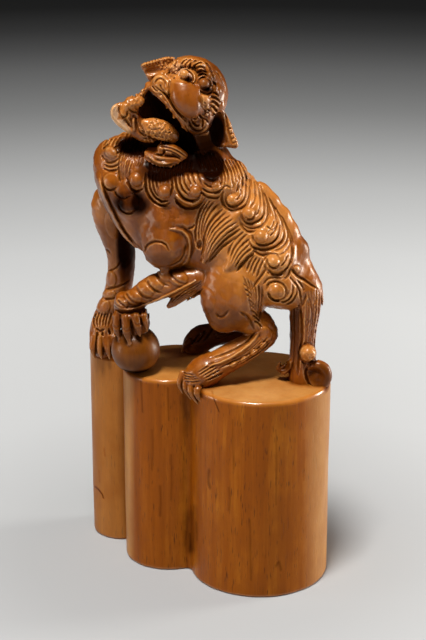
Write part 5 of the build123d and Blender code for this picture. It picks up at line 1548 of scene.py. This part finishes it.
# ============================================================ stage, light, camera
def stage_plane():
    me = bpy.data.meshes.new("floor")
    w = 3.0
    me.from_pydata([(-w, -w, 0), (w, -w, 0), (w, w, 0), (-w, w, 0)], [], [(0, 1, 2, 3)])
    ob = bpy.data.objects.new("floor", me)
    bpy.context.scene.collection.objects.link(ob)
    mat = bpy.data.materials.new("floor_paper")
    mat.use_nodes = True
    tree = mat.node_tree
    sh = tree.nodes["Principled BSDF"]
    flat = tree.nodes.new("ShaderNodeTexCoord")
    span = tree.nodes.new("ShaderNodeVectorMath")
    span.operation = "LENGTH"
    tree.links.new(flat.outputs["Object"], span.inputs[0])
    fade = tree.nodes.new("ShaderNodeMapRange")
    fade.inputs["From Max"].default_value = 0.8
    tree.links.new(span.outputs["Value"], fade.inputs["Value"])
    # painted light falloff: the paper's colour is set by distance from the block, dimmer round its foot, palest a
    # little way out and fading to near black far off
    painted_falloff = tree.nodes.new("ShaderNodeValToRGB")
    stops = [(0.0, 0.38), (0.04, 0.41), (0.085, 0.535), (0.165, 0.64), (0.22, 0.66), (0.30, 0.60), (0.35, 0.51), (0.42, 0.36), (0.50, 0.25), (0.55, 0.155), (0.60, 0.078), (0.665, 0.022), (0.8, 0.014), (1.0, 0.01)]
    el = painted_falloff.color_ramp.elements
    while len(el) < len(stops):
        el.new(0.5)
    for stop, (r, grey) in zip(el, stops):
        stop.position, stop.color = r, (grey * 0.972, grey * 0.992, grey * 1.02, 1)
    tree.links.new(fade.outputs["Result"], painted_falloff.inputs["Fac"])
    tree.links.new(painted_falloff.outputs["Color"], sh.inputs["Base Color"])
    sh.inputs["Roughness"].default_value = 0.75
    n = tree.nodes.new("ShaderNodeTexNoise")
    n.inputs["Scale"].default_value = 900.0
    b = tree.nodes.new("ShaderNodeBump")
    b.inputs["Strength"].default_value = 0.05
    b.inputs["Distance"].default_value = 0.0002
    tree.links.new(n.outputs["Fac"], b.inputs["Height"])
    tree.links.new(b.outputs["Normal"], sh.inputs["Normal"])
    me.materials.append(mat)


stage_plane()


def look(ob, point):
    ob.rotation_euler = (Vector(point) - ob.location).to_track_quat("-Z", "Y").to_euler()


def lamp(name, place, aim, size, power, colour=(1, 1, 1), size_y=None):
    data = bpy.data.lights.new(name, "AREA")
    data.energy = power
    data.color = colour
    data.size = size
    if size_y:
        data.shape = "RECTANGLE"
        data.size_y = size_y
    ob = bpy.data.objects.new(name, data)
    ob.location = place
    bpy.context.scene.collection.objects.link(ob)
    look(ob, aim)
    return ob


def stand(right, toward, up):
    """A place given from the object's middle as the viewer sees it: right, towards the viewer, up, in metres."""
    x, y = turned(right, -toward)[:2]
    return (x, y, up)


AIM = (0.0, 0.0, 0.055)
lamp("key_softbox", stand(-0.05, 0.15, 0.51), AIM, 0.105, 3.55, (1.0, 0.98, 0.94), 0.105)
lamp("front_softbox", stand(-0.10, 0.40, 0.20), AIM, 0.16, 0.07, (1.0, 0.98, 0.95), 0.16)
lamp("right_softbox", stand(0.34, -0.09, 0.07), (0, 0, 0.03), 0.10, 1.45, (1.0, 0.97, 0.90), 0.18)
lamp("left_softbox", stand(-0.34, 0.06, 0.06), (0, 0, 0.01), 0.10, 0.3, (1.0, 0.94, 0.85), 0.14)

w = bpy.data.worlds.new("studio")
bpy.context.scene.world = w
w.use_nodes = True
wt = w.node_tree
sky = wt.nodes.new("ShaderNodeTexCoord")
parts = wt.nodes.new("ShaderNodeSeparateXYZ")
wt.links.new(sky.outputs["Generated"], parts.inputs[0])
rise = wt.nodes.new("ShaderNodeValToRGB")
e = rise.color_ramp.elements
e[0].position, e[0].color = 0.0, (0.012, 0.011, 0.009, 1)
e[1].position, e[1].color = 0.8, (0.034, 0.035, 0.038, 1)
wt.links.new(parts.outputs["Z"], rise.inputs["Fac"])
wt.links.new(rise.outputs["Color"], wt.nodes["Background"].inputs["Color"])
wt.nodes["Background"].inputs["Strength"].default_value = 1.0
bpy.context.scene.view_settings.view_transform = "Standard"

cam = bpy.data.cameras.new("camera")
cam.lens = EYE * 36.0 / 640.0
cam.sensor_width = 36.0
cam.clip_start, cam.clip_end = 0.01, 20.0
cam_ob = bpy.data.objects.new("camera", cam)
cam_ob.location = (0.15599, -0.24962, 0.15323)
bpy.context.scene.collection.objects.link(cam_ob)
look(cam_ob, (SHIFT[0] * MM, SHIFT[1] * MM, LEVEL * MM))
bpy.context.scene.camera = cam_ob
